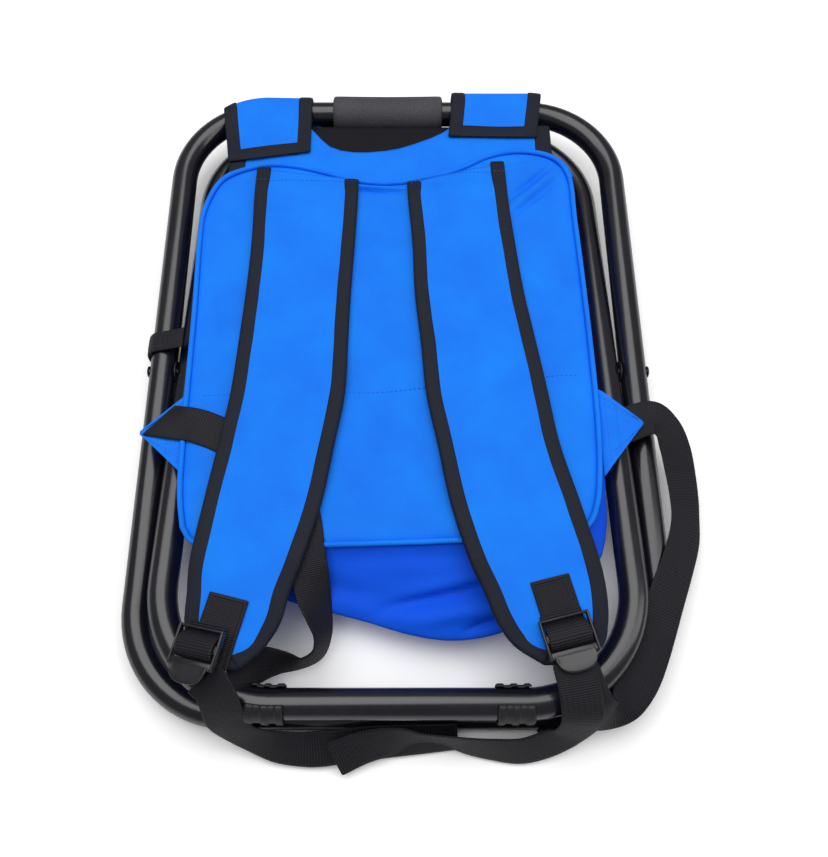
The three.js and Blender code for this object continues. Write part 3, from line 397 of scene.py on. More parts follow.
class Shape:
    """A mesh in the making, in millimetres, that ends as one Blender object."""

    def __init__(self, name: str) -> None:
        """Starts an empty mesh with room for its weave coordinates.

        Args:
            name: the piece's name.
        """
        self.name = name
        self.mesh = bmesh.new()
        self.uv = self.mesh.loops.layers.uv.new("UVMap")

    def sheet(self, across: int, along: int, place: Place, size: tuple[float, float]) -> "Shape":
        """Adds a grid whose points go where place puts them.

        Args:
            across: spans across the grid.
            along: spans along it.
            place: gives the point for two shares, across and along.
            size: the cut width and length, which scale the weave.

        Returns:
            The shape itself.
        """
        made = bmesh.ops.create_grid(self.mesh, x_segments=across, y_segments=along, size=0.5)
        corners = {loop for vert in made["verts"] for loop in vert.link_loops}
        for loop in corners:
            spot = loop.vert.co
            loop[self.uv].uv = ((spot.x + 0.5) * size[0] * MM, (spot.y + 0.5) * size[1] * MM)
        for vert in made["verts"]:
            vert.co = place(round(vert.co.x + 0.5, 5), round(vert.co.y + 0.5, 5))
        return self

    def lathe(self, profile: Sequence[tuple[float, float]], centre: Vector, axis: Vector,
              sides: int = 48) -> "Shape":
        """Turns a profile about an axis.

        Args:
            profile: rows of place along the axis and radius.
            centre: a point on the axis where the place is 0.
            axis: the axis' direction.
            sides: steps in the full turn.

        Returns:
            The shape itself.
        """
        out = axis.orthogonal().normalized()
        verts = [self.mesh.verts.new(centre + axis * along + out * radius) for along, radius in profile]
        edges = [self.mesh.edges.new(pair) for pair in zip(verts, verts[1:])]
        bmesh.ops.spin(self.mesh, geom=[*verts, *edges], cent=centre, axis=axis, angle=FULL_TURN,
                       steps=sides, use_merge=True)
        return self

    def block(self, size: Sequence[float], turn: Matrix, bevel: float = 0.0, segments: int = 2) -> "Shape":
        """Adds a box with bevelled edges.

        Args:
            size: its three sides.
            turn: where its middle goes.
            bevel: the width of the bevel.
            segments: the bevel's steps.

        Returns:
            The shape itself.
        """
        made = bmesh.ops.create_cube(self.mesh, size=1.0, matrix=Matrix.Diagonal((*size, 1.0)))
        verts = made["verts"]
        if bevel:
            edges = list({edge for vert in verts for edge in vert.link_edges})
            rounded = bmesh.ops.bevel(self.mesh, geom=edges, offset=bevel, affect="EDGES",
                                      segments=segments, profile=0.5, material=-1, clamp_overlap=True)
            verts = list({vert for face in rounded["faces"] for vert in face.verts} |
                         {vert for vert in verts if vert.is_valid})
        bmesh.ops.transform(self.mesh, matrix=turn, verts=verts)
        return self

    def closed(self) -> "Shape":
        """Welds the seams, fills the ends and turns the faces outwards.

        Returns:
            The shape itself.
        """
        bmesh.ops.remove_doubles(self.mesh, verts=self.mesh.verts, dist=WELD)
        bmesh.ops.dissolve_degenerate(self.mesh, dist=WELD / 2, edges=self.mesh.edges)
        rims = [edge for edge in self.mesh.edges if edge.is_boundary]
        if rims:
            bmesh.ops.holes_fill(self.mesh, edges=rims, sides=0)
        bmesh.ops.recalc_face_normals(self.mesh, faces=self.mesh.faces)
        return self

    def finished(self, finish: Finish, wall: float = 0.0, levels: int = 0, offset: float = 0.0,
                 sharp: float = 0.0, flat: bool = False) -> Piece:
        """Makes the object.

        Args:
            finish: what its surface is.
            wall: a sheet's thickness, or 0 for a closed shape.
            levels: subdivision levels.
            offset: side on which the sheet's thickness goes.
            sharp: angle in degrees above which an edge stays sharp, or 0 for none.
            flat: whether the weave lies flat in plan, at real scale.

        Returns:
            The new object, with its place in its mesh.
        """
        bmesh.ops.scale(self.mesh, vec=Vector((MM, MM, MM)), verts=self.mesh.verts)
        for face in self.mesh.faces:
            face.smooth = True
            for loop in face.loops if flat else ():
                loop[self.uv].uv = loop.vert.co.xy
        data = bpy.data.meshes.new(self.name)
        self.mesh.to_mesh(data)
        self.mesh.free()
        if sharp:
            data.set_sharp_from_angle(angle=math.radians(sharp))
        piece = linked(self.name, data)
        data.materials.append(finish.material())
        if wall:
            solid = piece.modifiers.new("thickness", "SOLIDIFY")
            solid.thickness, solid.offset = wall * MM, offset
        if levels:
            smooth = piece.modifiers.new("smoothing", "SUBSURF")
            smooth.levels = smooth.render_levels = levels
        return piece


def linked(name: str, data: bpy.types.ID) -> Piece:
    """Makes an object and adds it to the scene.

    Args:
        name: the object's name.
        data: its mesh, camera or lamp.

    Returns:
        The object.
    """
    made = bpy.data.objects.new(name, data)
    bpy.context.scene.collection.objects.link(made)
    return made


def put(piece: Piece, body: str, node: str = "") -> Piece:
    """Lets a piece ride on a body and, where a CAD node is named, stand in for it.

    Args:
        piece: the piece.
        body: the body's name.
        node: the name of the CAD node that it replaces, if any.

    Returns:
        The piece.
    """
    if node:
        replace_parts(piece, node)
    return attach(piece, body)


def ring_place(centre: Callable[[float], tuple[Vector, Vector, Vector]],
               section: Callable[[float, float], tuple[float, float]]) -> Place:
    """Carries a closed section along a line.

    Args:
        centre: gives the middle and the two directions of the section at a share along the line.
        section: gives the section's point for the share around it and the share along the line.

    Returns:
        The place function of the sheet that wraps the line.
    """
    def place(around: float, along: float) -> Vector:
        """Point of the wrapped sheet."""
        middle, across, up = centre(along)
        out, rise = section(around % 1.0, along)
        return middle + across * out + up * rise
    return place


def disc_place(rim: Route, centre: Vector, rings: Sequence[tuple[float, float]],
               height: Callable[[Vector, float], float]) -> Place:
    """Spreads a closed surface from its middle over its rim to the middle of its underside.

    Args:
        rim: the closed outline.
        centre: a point well inside the outline.
        rings: rows of the share of the way out and the share of the way down.
        height: gives the height at a point for its share of the way down.

    Returns:
        The place function, around the rim and along the rings.
    """
    def place(around: float, along: float) -> Vector:
        """Point of the surface."""
        row = along * (len(rings) - 1)
        low = min(int(row), len(rings) - 2)
        out, down = (lerp(*pair, row - low) for pair in zip(rings[low], rings[low + 1]))
        spot = centre.lerp(rim.at(around % 1.0), out)
        spot.z = height(spot, down)
        return spot
    return place


def halved(low: float, high: float, before: Callable[[float], bool]) -> float:
    """Narrows a span to the place where a test turns false.

    Args:
        low: the span's start, where the test holds.
        high: the span's end.
        before: the test.

    Returns:
        The place.
    """
    for _ in range(30):
        middle = (low + high) / 2
        low, high = (middle, high) if before(middle) else (low, middle)
    return (low + high) / 2


def oval(half_width: float, half_height: float, squareness: float = 2.0) -> Callable:
    """Section of a flattened round.

    Args:
        half_width: half of its width.
        half_height: half of its height.
        squareness: 2 for an ellipse, and more for a squarer one.

    Returns:
        The section's function for the share around it, the same all along.
    """
    def section(around: float, along: float) -> tuple[float, float]:
        """Point of the oval."""
        c, s = math.cos(around * FULL_TURN), math.sin(around * FULL_TURN)
        power = 2 / squareness
        return (half_width * math.copysign(abs(c) ** power, c),
                half_height * math.copysign(abs(s) ** power, s))
    return section


@dataclass(frozen=True)
class Crease:
    """A soft fold or groove along a line in plan, negative where it sinks."""

    start: tuple[float, float]
    end: tuple[float, float]
    rise: float
    width: float

    def at(self, x: float, y: float) -> float:
        """Height that the fold adds.

        Args:
            x: the place across the stool.
            y: the place along it.

        Returns:
            The height at that point.
        """
        run = Vector(self.end) - Vector(self.start)
        spot = Vector((x, y)) - Vector(self.start)
        share = spot.dot(run) / run.length_squared
        beyond = max(0.0, -share, share - 1) * run.length
        side = abs(run.x * spot.y - run.y * spot.x) / run.length
        fade = math.exp(-((beyond / self.width / 2) ** 2)) * (0.35 + 0.65 * math.sin(
            math.pi * min(1.0, max(0.0, share)) ** 0.8))
        return self.rise * fade * math.exp(-((side / self.width) ** 2))


def creased(creases: Sequence[Crease], x: float, y: float) -> float:
    """Sum of all folds at a point."""
    return sum(crease.at(x, y) for crease in creases)


def stitching(name: str, lines: Sequence[Sequence[Vector]], finish: Finish, length: float = 2.3,
              pitch: float = 3.2, width: float = 0.5) -> Piece:
    """Sews rows of stitches.

    Args:
        name: the piece's name.
        lines: points along each row.
        finish: the thread.
        length: one stitch's length.
        pitch: distance from stitch to stitch.
        width: the thread's width.

    Returns:
        One object with all stitches.
    """
    shape = Shape(name)
    for line in lines:
        left = pitch / 2
        for before, after in zip(line, line[1:]):
            run = after - before
            if run.length < WELD:
                continue
            turn = run.to_track_quat("X", "Z").to_matrix().to_4x4()
            while left <= run.length:
                spot = Matrix.Translation(before + run.normalized() * left) @ turn
                shape.block((length, width, width), spot)
                left += pitch
            left -= run.length
    return shape.finished(finish, levels=1)


def bound_edge(name: str, place: Place, side: float, half_height: Callable[[float], float],
               reach: float = 11.0, steps: int = 60) -> Piece:
    """Folds binding tape round a side edge of a cloth surface.

    Args:
        name: the piece's name.
        place: the cloth's own place function.
        side: 0 for the edge at the start of the surface's width, or 1 for the one at its end.
        half_height: half of the tape's height at a share along the cloth.
        reach: how far the tape covers the cloth.
        steps: spans along the tape.

    Returns:
        The tape.
    """
    nudge, ahead, overhang, squareness = (-0.04 if side else 0.04), 0.01, 0.9, 3.6

    def centre(along: float) -> tuple[Vector, Vector, Vector]:
        """Middle of the tape and its two directions."""
        edge = place(side, along)
        inward = (place(side + nudge, along) - edge).normalized()
        run = (place(side, min(1.0, along + ahead)) - place(side, max(0.0, along - ahead))).normalized()
        across = (inward - run * inward.dot(run)).normalized()
        up = across.cross(run) * (1 if side else -1)
        return edge + across * (reach / 2 - overhang), across, up.normalized()

    def section(around: float, along: float) -> tuple[float, float]:
        """Flat oval of the folded tape."""
        return oval(reach / 2, half_height(along), squareness)(around, along)

    line = [centre(step / steps)[0] for step in range(steps + 1)]
    length = sum((b - a).length for a, b in zip(line, line[1:]))
    shape = Shape(name).sheet(20, steps, ring_place(centre, section), (2 * reach, length))
    return shape.closed().finished(BLACK_TAPE)


@dataclass
class Loop:
    """One rounded tube loop, tilted about the pivot line."""

    half_width: float
    half_length: float
    corner: float
    tilt: float
    pivot_height: float = 23.4808
    radius: float = 9.5

    def turn(self) -> Matrix:
        """From the loop's own plane to the row frame."""
        return Matrix.Translation((0, 0, self.pivot_height)) @ Matrix.Rotation(self.tilt, 4, "X")

    def bar(self, x: float, end: int) -> tuple[Vector, Vector]:
        """A place on a cross bar.

        Args:
            x: the place across the stool.
            end: 1 for the top bar, -1 for the bottom bar.

        Returns:
            The centreline's point and its outward direction in the row frame.
        """
        over = max(0.0, abs(x) - (self.half_width - self.corner))
        down = self.corner - math.sqrt(self.corner ** 2 - over ** 2)
        out = Vector((math.copysign(over, x), end * (self.corner - down), 0)).normalized()
        spot = Vector((x, end * (self.half_length - down), 0))
        turn = self.turn()
        return turn @ spot, (turn.to_3x3() @ out).normalized()

    def tube(self, name: str) -> Piece:
        """Bends the tube from one ring: straight pieces by extrusion, corners by spinning.

        Args:
            name: the piece's name.

        Returns:
            The tube.
        """
        shape = Shape(name)
        mesh = shape.mesh
        start = Matrix.Translation((self.half_width, 0, 0)) @ Matrix.Rotation(math.pi / 2, 4, "X")
        ring = bmesh.ops.create_circle(mesh, segments=40, radius=self.radius, matrix=start)
        edges = list({edge for vert in ring["verts"] for edge in vert.link_edges})
        x, y = self.half_width - self.corner, self.half_length - self.corner
        legs = (((0, 1), y, (x, y)), ((-1, 0), 2 * x, (-x, y)), ((0, -1), 2 * y, (-x, -y)),
                ((1, 0), 2 * x, (x, -y)))
        for way, length, centre in legs:
            edges = self.push(mesh, edges, Vector((*way, 0)) * length)
            bent = bmesh.ops.spin(mesh, geom=[*edges, *{v for e in edges for v in e.verts}],
                                  cent=(*centre, 0), axis=UP, angle=math.pi / 2, steps=18)
            edges = [item for item in bent["geom_last"] if isinstance(item, bmesh.types.BMEdge)]
        self.push(mesh, edges, Vector((0, y, 0)))
        bmesh.ops.transform(mesh, matrix=self.turn(), verts=mesh.verts)
        return shape.closed().finished(TUBE_PAINT)

    @staticmethod
    def push(mesh: bmesh.types.BMesh, edges: list, way: Vector) -> list:
        """Extrudes a ring of edges.

        Args:
            mesh: the mesh that it is in.
            edges: the ring.
            way: how far it goes.

        Returns:
            The new ring.
        """
        made = bmesh.ops.extrude_edge_only(mesh, edges=edges)["geom"]
        verts = [item for item in made if isinstance(item, bmesh.types.BMVert)]
        bmesh.ops.translate(mesh, vec=way, verts=verts)
        return [item for item in made if isinstance(item, bmesh.types.BMEdge)
                and all(vert in verts for vert in item.verts)]


OUTER = Loop(170.5, 234.0, 66.0, math.radians(2.8122))
INNER = Loop(150.3, 230.0, 74.0, math.radians(-2.98587))


@dataclass
class FrameParts:
    """Tube loops, foam grip, feet and rivets."""

    grip_middle: float = -8.5
    grip_length: float = 89.0
    grip_radius: float = 13.9
    grip_bore: float = 9.8
    foot_length: float = 22.0
    foot_open: float = 57.0
    inner_foot_open: float = 10.0
    foot_bottom: float = 11.2
    foot_groove: float = 11.1
    foot_rib: float = 12.0
    rivet_tail: float = 139.2
    rivet_head: float = 182.4
    outer_feet: tuple[float, float] = (-97.92, 97.92)
    inner_feet: tuple[float, float] = (-78.84, 69.84)

    def grip(self) -> Piece:
        """Foam sleeve with soft ends, a little slimmer in its middle.

        Returns:
            The sleeve.
        """
        half, bore, top = self.grip_length / 2, self.grip_bore, self.grip_radius
        profile = [(-half + 0.6, bore), (-half, bore + 1.2), (-half, top - 2.2), (-half + 0.5, top - 0.9),
                   (-half + 1.8, top - 0.1), (-half + 5, top), (-half / 2, top - 0.25), (0, top - 0.4)]
        profile += [(-along, radius) for along, radius in reversed(profile[:-1])]
        centre = OUTER.bar(0, 1)[0] + Vector((self.grip_middle, 0, 0))
        shape = Shape("foam_grip_sleeve").lathe([*profile, profile[0]], centre, Vector((1, 0, 0)))
        return shape.closed().finished(GRIP_FOAM)

    def foot(self, name: str, loop: Loop, x: float, near_open: float) -> Piece:
        """Ribbed clip round a bottom bar.

        Args:
            name: the piece's name.
            loop: the loop that it grips.
            x: its middle across the stool.
            near_open: angle in degrees from the bar's top to its outer lip.

        Returns:
            The clip.
        """
        rib, groove = self.foot_rib, self.foot_groove
        ribs = [(0.0, self.foot_bottom), (0.04, rib), (0.19, rib), (0.24, groove), (0.38, groove),
                (0.43, rib), (0.57, rib), (0.62, groove), (0.76, groove), (0.81, rib), (0.96, rib),
                (1.0, self.foot_bottom)]
        up = (loop.turn().to_3x3() @ UP).normalized()
        first, last = math.radians(90 + self.foot_open), math.radians(450 - near_open)

        def place(around: float, along: float) -> Vector:
            """Point of the clip's outside."""
            middle, out = loop.bar(x + (along - 0.5) * self.foot_length, -1)
            angle = lerp(first, last, 1 - around)
            return middle + (out * math.cos(angle) + up * math.sin(angle)) * table_value(ribs, along)

        shape = Shape(name).sheet(28, 50, place, (45, self.foot_length))
        return shape.finished(FOOT_RUBBER, wall=1.0, offset=-1.0, sharp=40)

    def rivet(self, name: str, sign: int) -> Piece:
        """Domed rivet through both loops, with a rolled tail inside.

        Args:
            name: the piece's name.
            sign: 1 for the right side, -1 for the left side.

        Returns:
            The rivet.
        """
        tail, head = self.rivet_tail, self.rivet_head
        profile = [(tail, 0), (tail, 1.6), (tail + 0.3, 3.0), (tail + 1.1, 3.6), (tail + 1.4, 2.8),
                   (head - 2.3, 2.8), (head - 2.2, 4.0), (head - 1.8, 4.3), (head - 1.2, 4.0),
                   (head - 0.7, 2.8), (head - 0.5, 1.3), (head - 0.45, 0)]
        shape = Shape(name).lathe(profile, UP * OUTER.pivot_height, Vector((sign, 0, 0)), 32)
        return shape.closed().finished(RIVET_STEEL, sharp=50)

    def build(self) -> None:
        """Builds and places all of the frame's pieces."""
        put(OUTER.tube("outer_loop"), "outer_frame", "outer_frame_tube")
        put(INNER.tube("inner_loop"), "inner_frame", "inner_frame_tube")
        put(self.grip(), "outer_frame", "foam_grip")
        for kind, loop, places, lip in (("outer", OUTER, self.outer_feet, self.foot_open),
                                        ("inner", INNER, self.inner_feet, self.inner_foot_open)):
            for side, x in zip(("left", "right"), places):
                foot = self.foot(f"{kind}_{side}_foot", loop, x, lip)
                put(foot, f"{kind}_frame", f"{kind}_foot_{side}")
        for side, sign in (("left", -1), ("right", 1)):
            put(self.rivet(f"domed_rivet_{side}", sign), "outer_frame", f"pivot_rivet_{side}")
            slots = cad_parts[f"pivot_washer_{side}"].data.materials
            slots.clear()
            slots.append(NYLON.material())


@dataclass
class Flap:
    """A hook-and-loop flap: cloth that wraps a top bar and lies on or under the bag."""

    side: str
    loop: Loop
    at_bar: tuple[float, float]
    left_end: tuple[float, float]
    right_end: tuple[float, float]
    loose: tuple[float, float]
    tail_height: float
    front: bool = False
    wrap: float = 10.5
    lean: float = 1.0

    def __post_init__(self) -> None:
        """Works out the tail's length and the length of the wrap."""
        self.reach = self.loop.bar(0, 1)[0].y - (self.left_end[1] + self.right_end[1]) / 2
        self.arc = self.wrap * math.radians(300)

    def round_bar(self, across: float, angle: float) -> Vector:
        """Point of the wrap round the bar, loose on its far side.

        Args:
            across: share of the width, from the left.
            angle: turn round the bar from its top, or from its underside for a front flap.

        Returns:
            The point in the row frame.
        """
        bar, out = self.loop.bar(lerp(*self.at_bar, across), 1)
        out = Vector((self.lean * out.x, out.y, out.z))
        slack = lerp(*self.loose, across) * (0.5 + 0.5 * math.cos(angle - math.pi / 4))
        radius = self.wrap + slack
        up = Vector((0, 0, -1 if self.front else 1))
        return bar + out * radius * math.sin(angle) + up * radius * math.cos(angle)

    def place(self, across: float, along: float) -> Vector:
        """Point of the flap's cloth, from its tail's end round the bar.

        Args:
            across: share of the width, from the left.
            along: share of the way from the tail's end to the end of the wrap.

        Returns:
            The point in the row frame.
        """
        run = along * (self.reach + self.arc)
        if run >= self.reach:
            return self.round_bar(across, (run - self.reach) / self.wrap)
        share = run / self.reach
        end = Vector((*self.left_end, 0)).lerp(Vector((*self.right_end, 0)), across)
        top = self.round_bar(across, 0.0)
        spot = end.lerp(top, share)
        ripple = 0.5 * math.sin(across * 7 + self.at_bar[0]) * math.sin(math.pi * share)
        drop = smoothstep(self.reach - run, 0, 24)
        spot.z = lerp(top.z, self.tail_height, drop) + (0 if self.front else ripple)
        return spot

    def build(self) -> None:
        """Cloth and its bound edges, parting where the bag hangs from the bar."""
        split = self.reach / (self.reach + self.arc)
        parts = (("_tail", 0.0, split), ("_sleeve", split, 1.0)) if self.front else (("", 0.0, 1.0),)
        for part, low, high in parts:
            self.pieces(part, low, high)

    def pieces(self, part: str, low: float, high: float) -> None:
        """Builds the cloth and the tapes between two shares of its length.

        Args:
            part: an ending for the pieces' names.
            low: where the part starts.
            high: where it ends.
        """
        kind = "front" if self.front else "back"
        node = f"{kind}_flap_{self.side}"

        def place(across: float, along: float) -> Vector:
            """Point of the part."""
            return self.place(across, lerp(low, high, along))

        size = (self.at_bar[1] - self.at_bar[0], (self.reach + self.arc) * (high - low))
        cloth = Shape(f"{kind}_flap_cloth_{self.side}{part}").sheet(24, round(60 * (high - low)), place, size)
        made = [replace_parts(cloth.finished(BLUE_CLOTH, wall=1.4), node)]
        for name, side in (("a", 0), ("b", 1)):
            made.append(bound_edge(f"{node}_binding_{name}{part}", place, side, lambda share: 1.35))
        if low == 0.0:
            made.append(bound_edge(f"{node}_binding_end", lambda s, t: place(t, s), 0, lambda share: 1.2))
        for piece in made:
            self.join(piece, part)

    def join(self, piece: Piece, part: str) -> None:
        """Lets a front flap's piece ride on the bag's front or the inner frame; a back flap's piece keeps its
        place, baked into its mesh.

        Args:
            piece: the cloth or a tape.
            part: the ending of its name.
        """
        if self.front:
            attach(piece, "bag_front" if part == "_tail" else "inner_frame")
            return
        bar = self.loop.bar(0, 1)[0]
        start, end = ((0, (bar.y - gap) * MM, self.tail_height * MM) for gap in (1.0, 18.0))
        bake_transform(piece)
        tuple(start)
        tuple(end)


@dataclass
class Flaps:
    """The four flaps with their hook pads."""

    pad_length: float = 22.0
    front_middle: float = 84.0
    front_half: float = 29.0
    front_end: float = 181.7

    def pad(self, side: str, kind: str, x: float, y: float, z: float, width: float) -> None:
        """A pad of hook tape between a flap and the bag.

        Args:
            side: left or right.
            kind: back or front, which says the body too.
            x: its middle across the stool.
            y: its middle along the stool.
            z: its middle height.
            width: its width.
        """
        def place(across: float, along: float) -> Vector:
            """Point of the pad."""
            return Vector((x + (across - 0.5) * width, y + (along - 0.5) * self.pad_length, z))

        shape = Shape(f"hook_pad_{kind}_{side}").sheet(6, 4, place, (width, self.pad_length))
        put(shape.finished(HOOK_TAPE, wall=0.9), f"bag_{kind}", f"{kind}_hook_pad_{side}")

    def build(self) -> None:
        """Builds the four flaps."""
        Flap("left", OUTER, (-140.0, -71.0), (-132.9, 175.2), (-70.4, 185.2), (2.2, 1.0), 45.9,
             lean=0.25).build()
        Flap("right", OUTER, (44.6, 114.6), (41.1, 200.8), (110.0, 199.8), (4.6, 4.6), 45.9).build()
        self.pad("left", "back", -104.0, 194.0, 44.3, 48.0)
        self.pad("right", "back", 79.0, 213.0, 44.3, 48.0)
        for side, x in (("left", -self.front_middle), ("right", self.front_middle)):
            ends = x - self.front_half, x + self.front_half
            Flap(side, INNER, ends, (ends[0], self.front_end), (ends[1], self.front_end), (0.0, 0.0), 0.9,
                 front=True).build()
            self.pad(side, "front", x, self.front_end + 17, 2.4, 34.0)


@dataclass
class Panel:
    """The bag's back panel with its piping, seams and tabs, and the yoke above it."""

    width: float = 286.92
    height: float = 303.89
    middle: tuple[float, float] = (-5.508, 17.045)
    base: float = 43.0
    top: float = 46.5
    outline_shares: tuple = (
        (-0.916, -0.914), (-0.944, -0.77), (-0.96, -0.474), (-0.975, 0.151), (-0.99, 0.546), (-0.986, 0.704),
        (-0.93, 0.875), (-0.875, 0.934), (-0.735, 0.993), (-0.631, 1.007), (-0.505, 0.993),
        (-0.331, 0.947), (-0.199, 0.908), (-0.066, 0.888), (0.066, 0.895), (0.178, 0.921),
        (0.289, 0.947), (0.401, 0.993), (0.512, 1.053), (0.624, 1.086), (0.742, 1.092), (0.854, 1.066),
        (0.916, 1.02), (0.958, 0.928), (0.965, 0.664), (0.972, 0.336), (0.976, -0.112), (0.969, -0.507),
        (0.951, -0.704), (0.93, -0.809), (0.888, -0.895), (0.791, -0.952), (0.338, -0.97),
        (-0.296, -0.989), (-0.763, -1.001), (-0.87, -0.972))
    folds: tuple[Crease, ...] = (
        Crease((118, 168), (80, 134), -4.0, 2.0), Crease((124, 165), (84, 127), 2.2, 3.0),
        Crease((124, 156), (84, 119), -3.2, 2.2), Crease((84, 166), (106, 171), 2.2, 2.2),
        Crease((90, 118), (130, 30), -1.3, 7), Crease((-110, 166), (-130, 118), -1.5, 3.5),
        Crease((-140, 60), (-122, -15), -1.4, 6), Crease((-36, 150), (9, 147.2), 2.4, 1.4),
        Crease((-37, 146.6), (10, 144.0), -3.6, 1.2), Crease((-24, 140), (12, 126), -1.2, 4),
        Crease((-60, -104), (40, -120), 1.2, 7), Crease((10, 60), (-15, -60), -1.2, 13),
        Crease((-120, -40), (-132, -90), 1.0, 6), Crease((-10, -62), (24, -104), -1.0, 8))
    seam: tuple = ((-136.1, -27.2), (-15.9, -24.9), (112.5, -11.8))

    def outline(self, growth: float) -> list[Vector]:
        """The panel's outline.

        Args:
            growth: how far it is moved outwards.

        Returns:
            Its points.
        """
        half_x, half_y = self.width / 2 + growth, self.height / 2 + growth
        return [Vector((self.middle[0] + x * half_x, self.middle[1] + y * half_y, 0))
                for x, y in self.outline_shares]

    def rim(self, growth: float) -> Route:
        """Closed smooth line round the grown outline."""
        points = self.outline(growth)
        return Route([*points, points[0]])

    def top_edge(self, x: float, growth: float) -> float:
        """Height in plan of the grown outline's top edge at an x."""
        points = [p for p in self.outline(growth) if p.y > self.middle[1] + 0.8 * self.height / 2]
        return table_value([(p.x, p.y) for p in sorted(points, key=lambda p: p.x)], x)

    def surface(self, x: float, y: float) -> float:
        """Height of the panel's top face: creases, a mid seam and gentle waves.

        Args:
            x: the place across the stool.
            y: the place along it.

        Returns:
            The height.
        """
        seam = -0.9 * math.exp(-(((y - table_value(self.seam, x)) / 1.2) ** 2))
        wave = 0.5 * noise.noise(Vector((x, y, 3.0)) / 42) + 0.25 * noise.noise(Vector((x, y, 9.0)) / 17)
        return self.top + seam + max(-4.2, min(2.0, wave + creased(self.folds, x, y)))

    def panel(self) -> Piece:
        """Padded panel: a crowned top, a rolled rim and a flat back.

        Returns:
            The panel.
        """
        rings = [*((share / 10, 0) for share in range(8)), (0.78, 0), (0.85, 0), (0.9, 0), (0.94, 0.01),
                 (0.962, 0.04), (0.978, 0.13), (0.992, 0.32), (1.001, 0.55), (0.996, 0.8), (0.982, 0.95),
                 (0.95, 1), (0.5, 1), (0.0, 1)]
        place = disc_place(self.rim(0.0), Vector((*self.middle, 0)), rings,
                           lambda spot, down: lerp(self.surface(spot.x, spot.y), self.base, down))
        shape = Shape("back_panel_cloth").sheet(216, (len(rings) - 1) * 3, place, (1, 1))
        return shape.closed().finished(BLUE_CLOTH, flat=True)

    def build(self) -> None:
        """Builds the panel, its piping and seams."""
        put(self.panel(), "bag_back", "back_panel")
        put(self.piping("back_piping_cord", 1.3, 45.9, 1.9, (0.0, 1.0)), "bag_back", "back_piping")
        put(self.piping("yoke_seam_piping", 4.1, 43.6, 1.0, (0.19, 0.64)), "bag_back")
        seam = [Vector((x, table_value(self.seam, x) - 2.6, 0)) for x in range(-134, 128, 6)]
        for spot in seam:
            spot.z = self.surface(spot.x, spot.y) + 0.1
        put(stitching("panel_stitches", [seam], BLUE_THREAD), "bag_back")

    def piping(self, name: str, growth: float, height: float, radius: float,
               span: tuple[float, float]) -> Piece:
        """A cord in cloth that follows the panel's outline.

        Args:
            name: the piece's name.
            growth: how far outside the panel its middle runs.
            height: its middle height.
            radius: its radius.
            span: the shares of the outline between which it runs.

        Returns:
            The cord.
        """
        rim = self.rim(growth)

        def centre(along: float) -> tuple[Vector, Vector, Vector]:
            """Middle of the piping and its two directions."""
            share = lerp(*span, along)
            run = (rim.at((share + NEAR) % 1.0) - rim.at((share - NEAR) % 1.0)).normalized()
            spot = rim.at(share % 1.0)
            wander = 0.25 * noise.noise(spot / 14)
            return spot + Vector((0, wander, height)), Vector((run.y, -run.x, 0)), UP

        sheet = Shape(name).sheet(12, 360, ring_place(centre, oval(radius, radius)), (9.4, 1240))
        return sheet.closed().finished(BLUE_CLOTH)


@dataclass
class Yoke:
    """Cloth from the panel's top seam up to the bar, with a dip for the hand."""

    panel: Panel = field(default_factory=Panel)
    height: float = 42.6
    left: float = -132.5
    right: float = 121.5
    overlap: float = 3.0
    dip: tuple = ((-132.5, 200.0), (-124, 210), (-112, 214), (-74, 214), (-70, 210), (-67, 206.3),
                  (-61, 198.5), (-54.4, 191.8), (-46, 188), (-35, 186), (-24, 185.7), (-10, 187.2),
                  (1.5, 189.8), (13, 194.4), (25.6, 200), (36.2, 206.3), (43, 212), (48, 214), (100, 214),
                  (121.5, 213))

    def place(self, across: float, along: float) -> Vector:
        """Point of the yoke's cloth.

        Args:
            across: share of the width, from the left.
            along: share of the way from the panel to the dip.

        Returns:
            The point in the row frame.
        """
        x = lerp(self.left, self.right, across)
        y = lerp(self.panel.top_edge(x, self.overlap), table_value(self.dip, x), along)
        wave = 0.5 * noise.noise(Vector((x, y, 8.0)) / 25)
        return Vector((x, y, self.height + 0.4 * math.sin(along * math.pi) + wave))

    def build(self) -> None:
        """Builds the yoke with its side bindings."""
        cloth = Shape("back_yoke_cloth").sheet(120, 14, self.place, (self.right - self.left, 63))
        put(cloth.finished(BLUE_CLOTH, wall=1.6, flat=True), "bag_back", "back_yoke")
        for name, side in (("left", 0), ("right", 1)):
            put(bound_edge(f"yoke_binding_{name}", self.place, side, lambda share: 1.3, 13.5, 20), "bag_back")


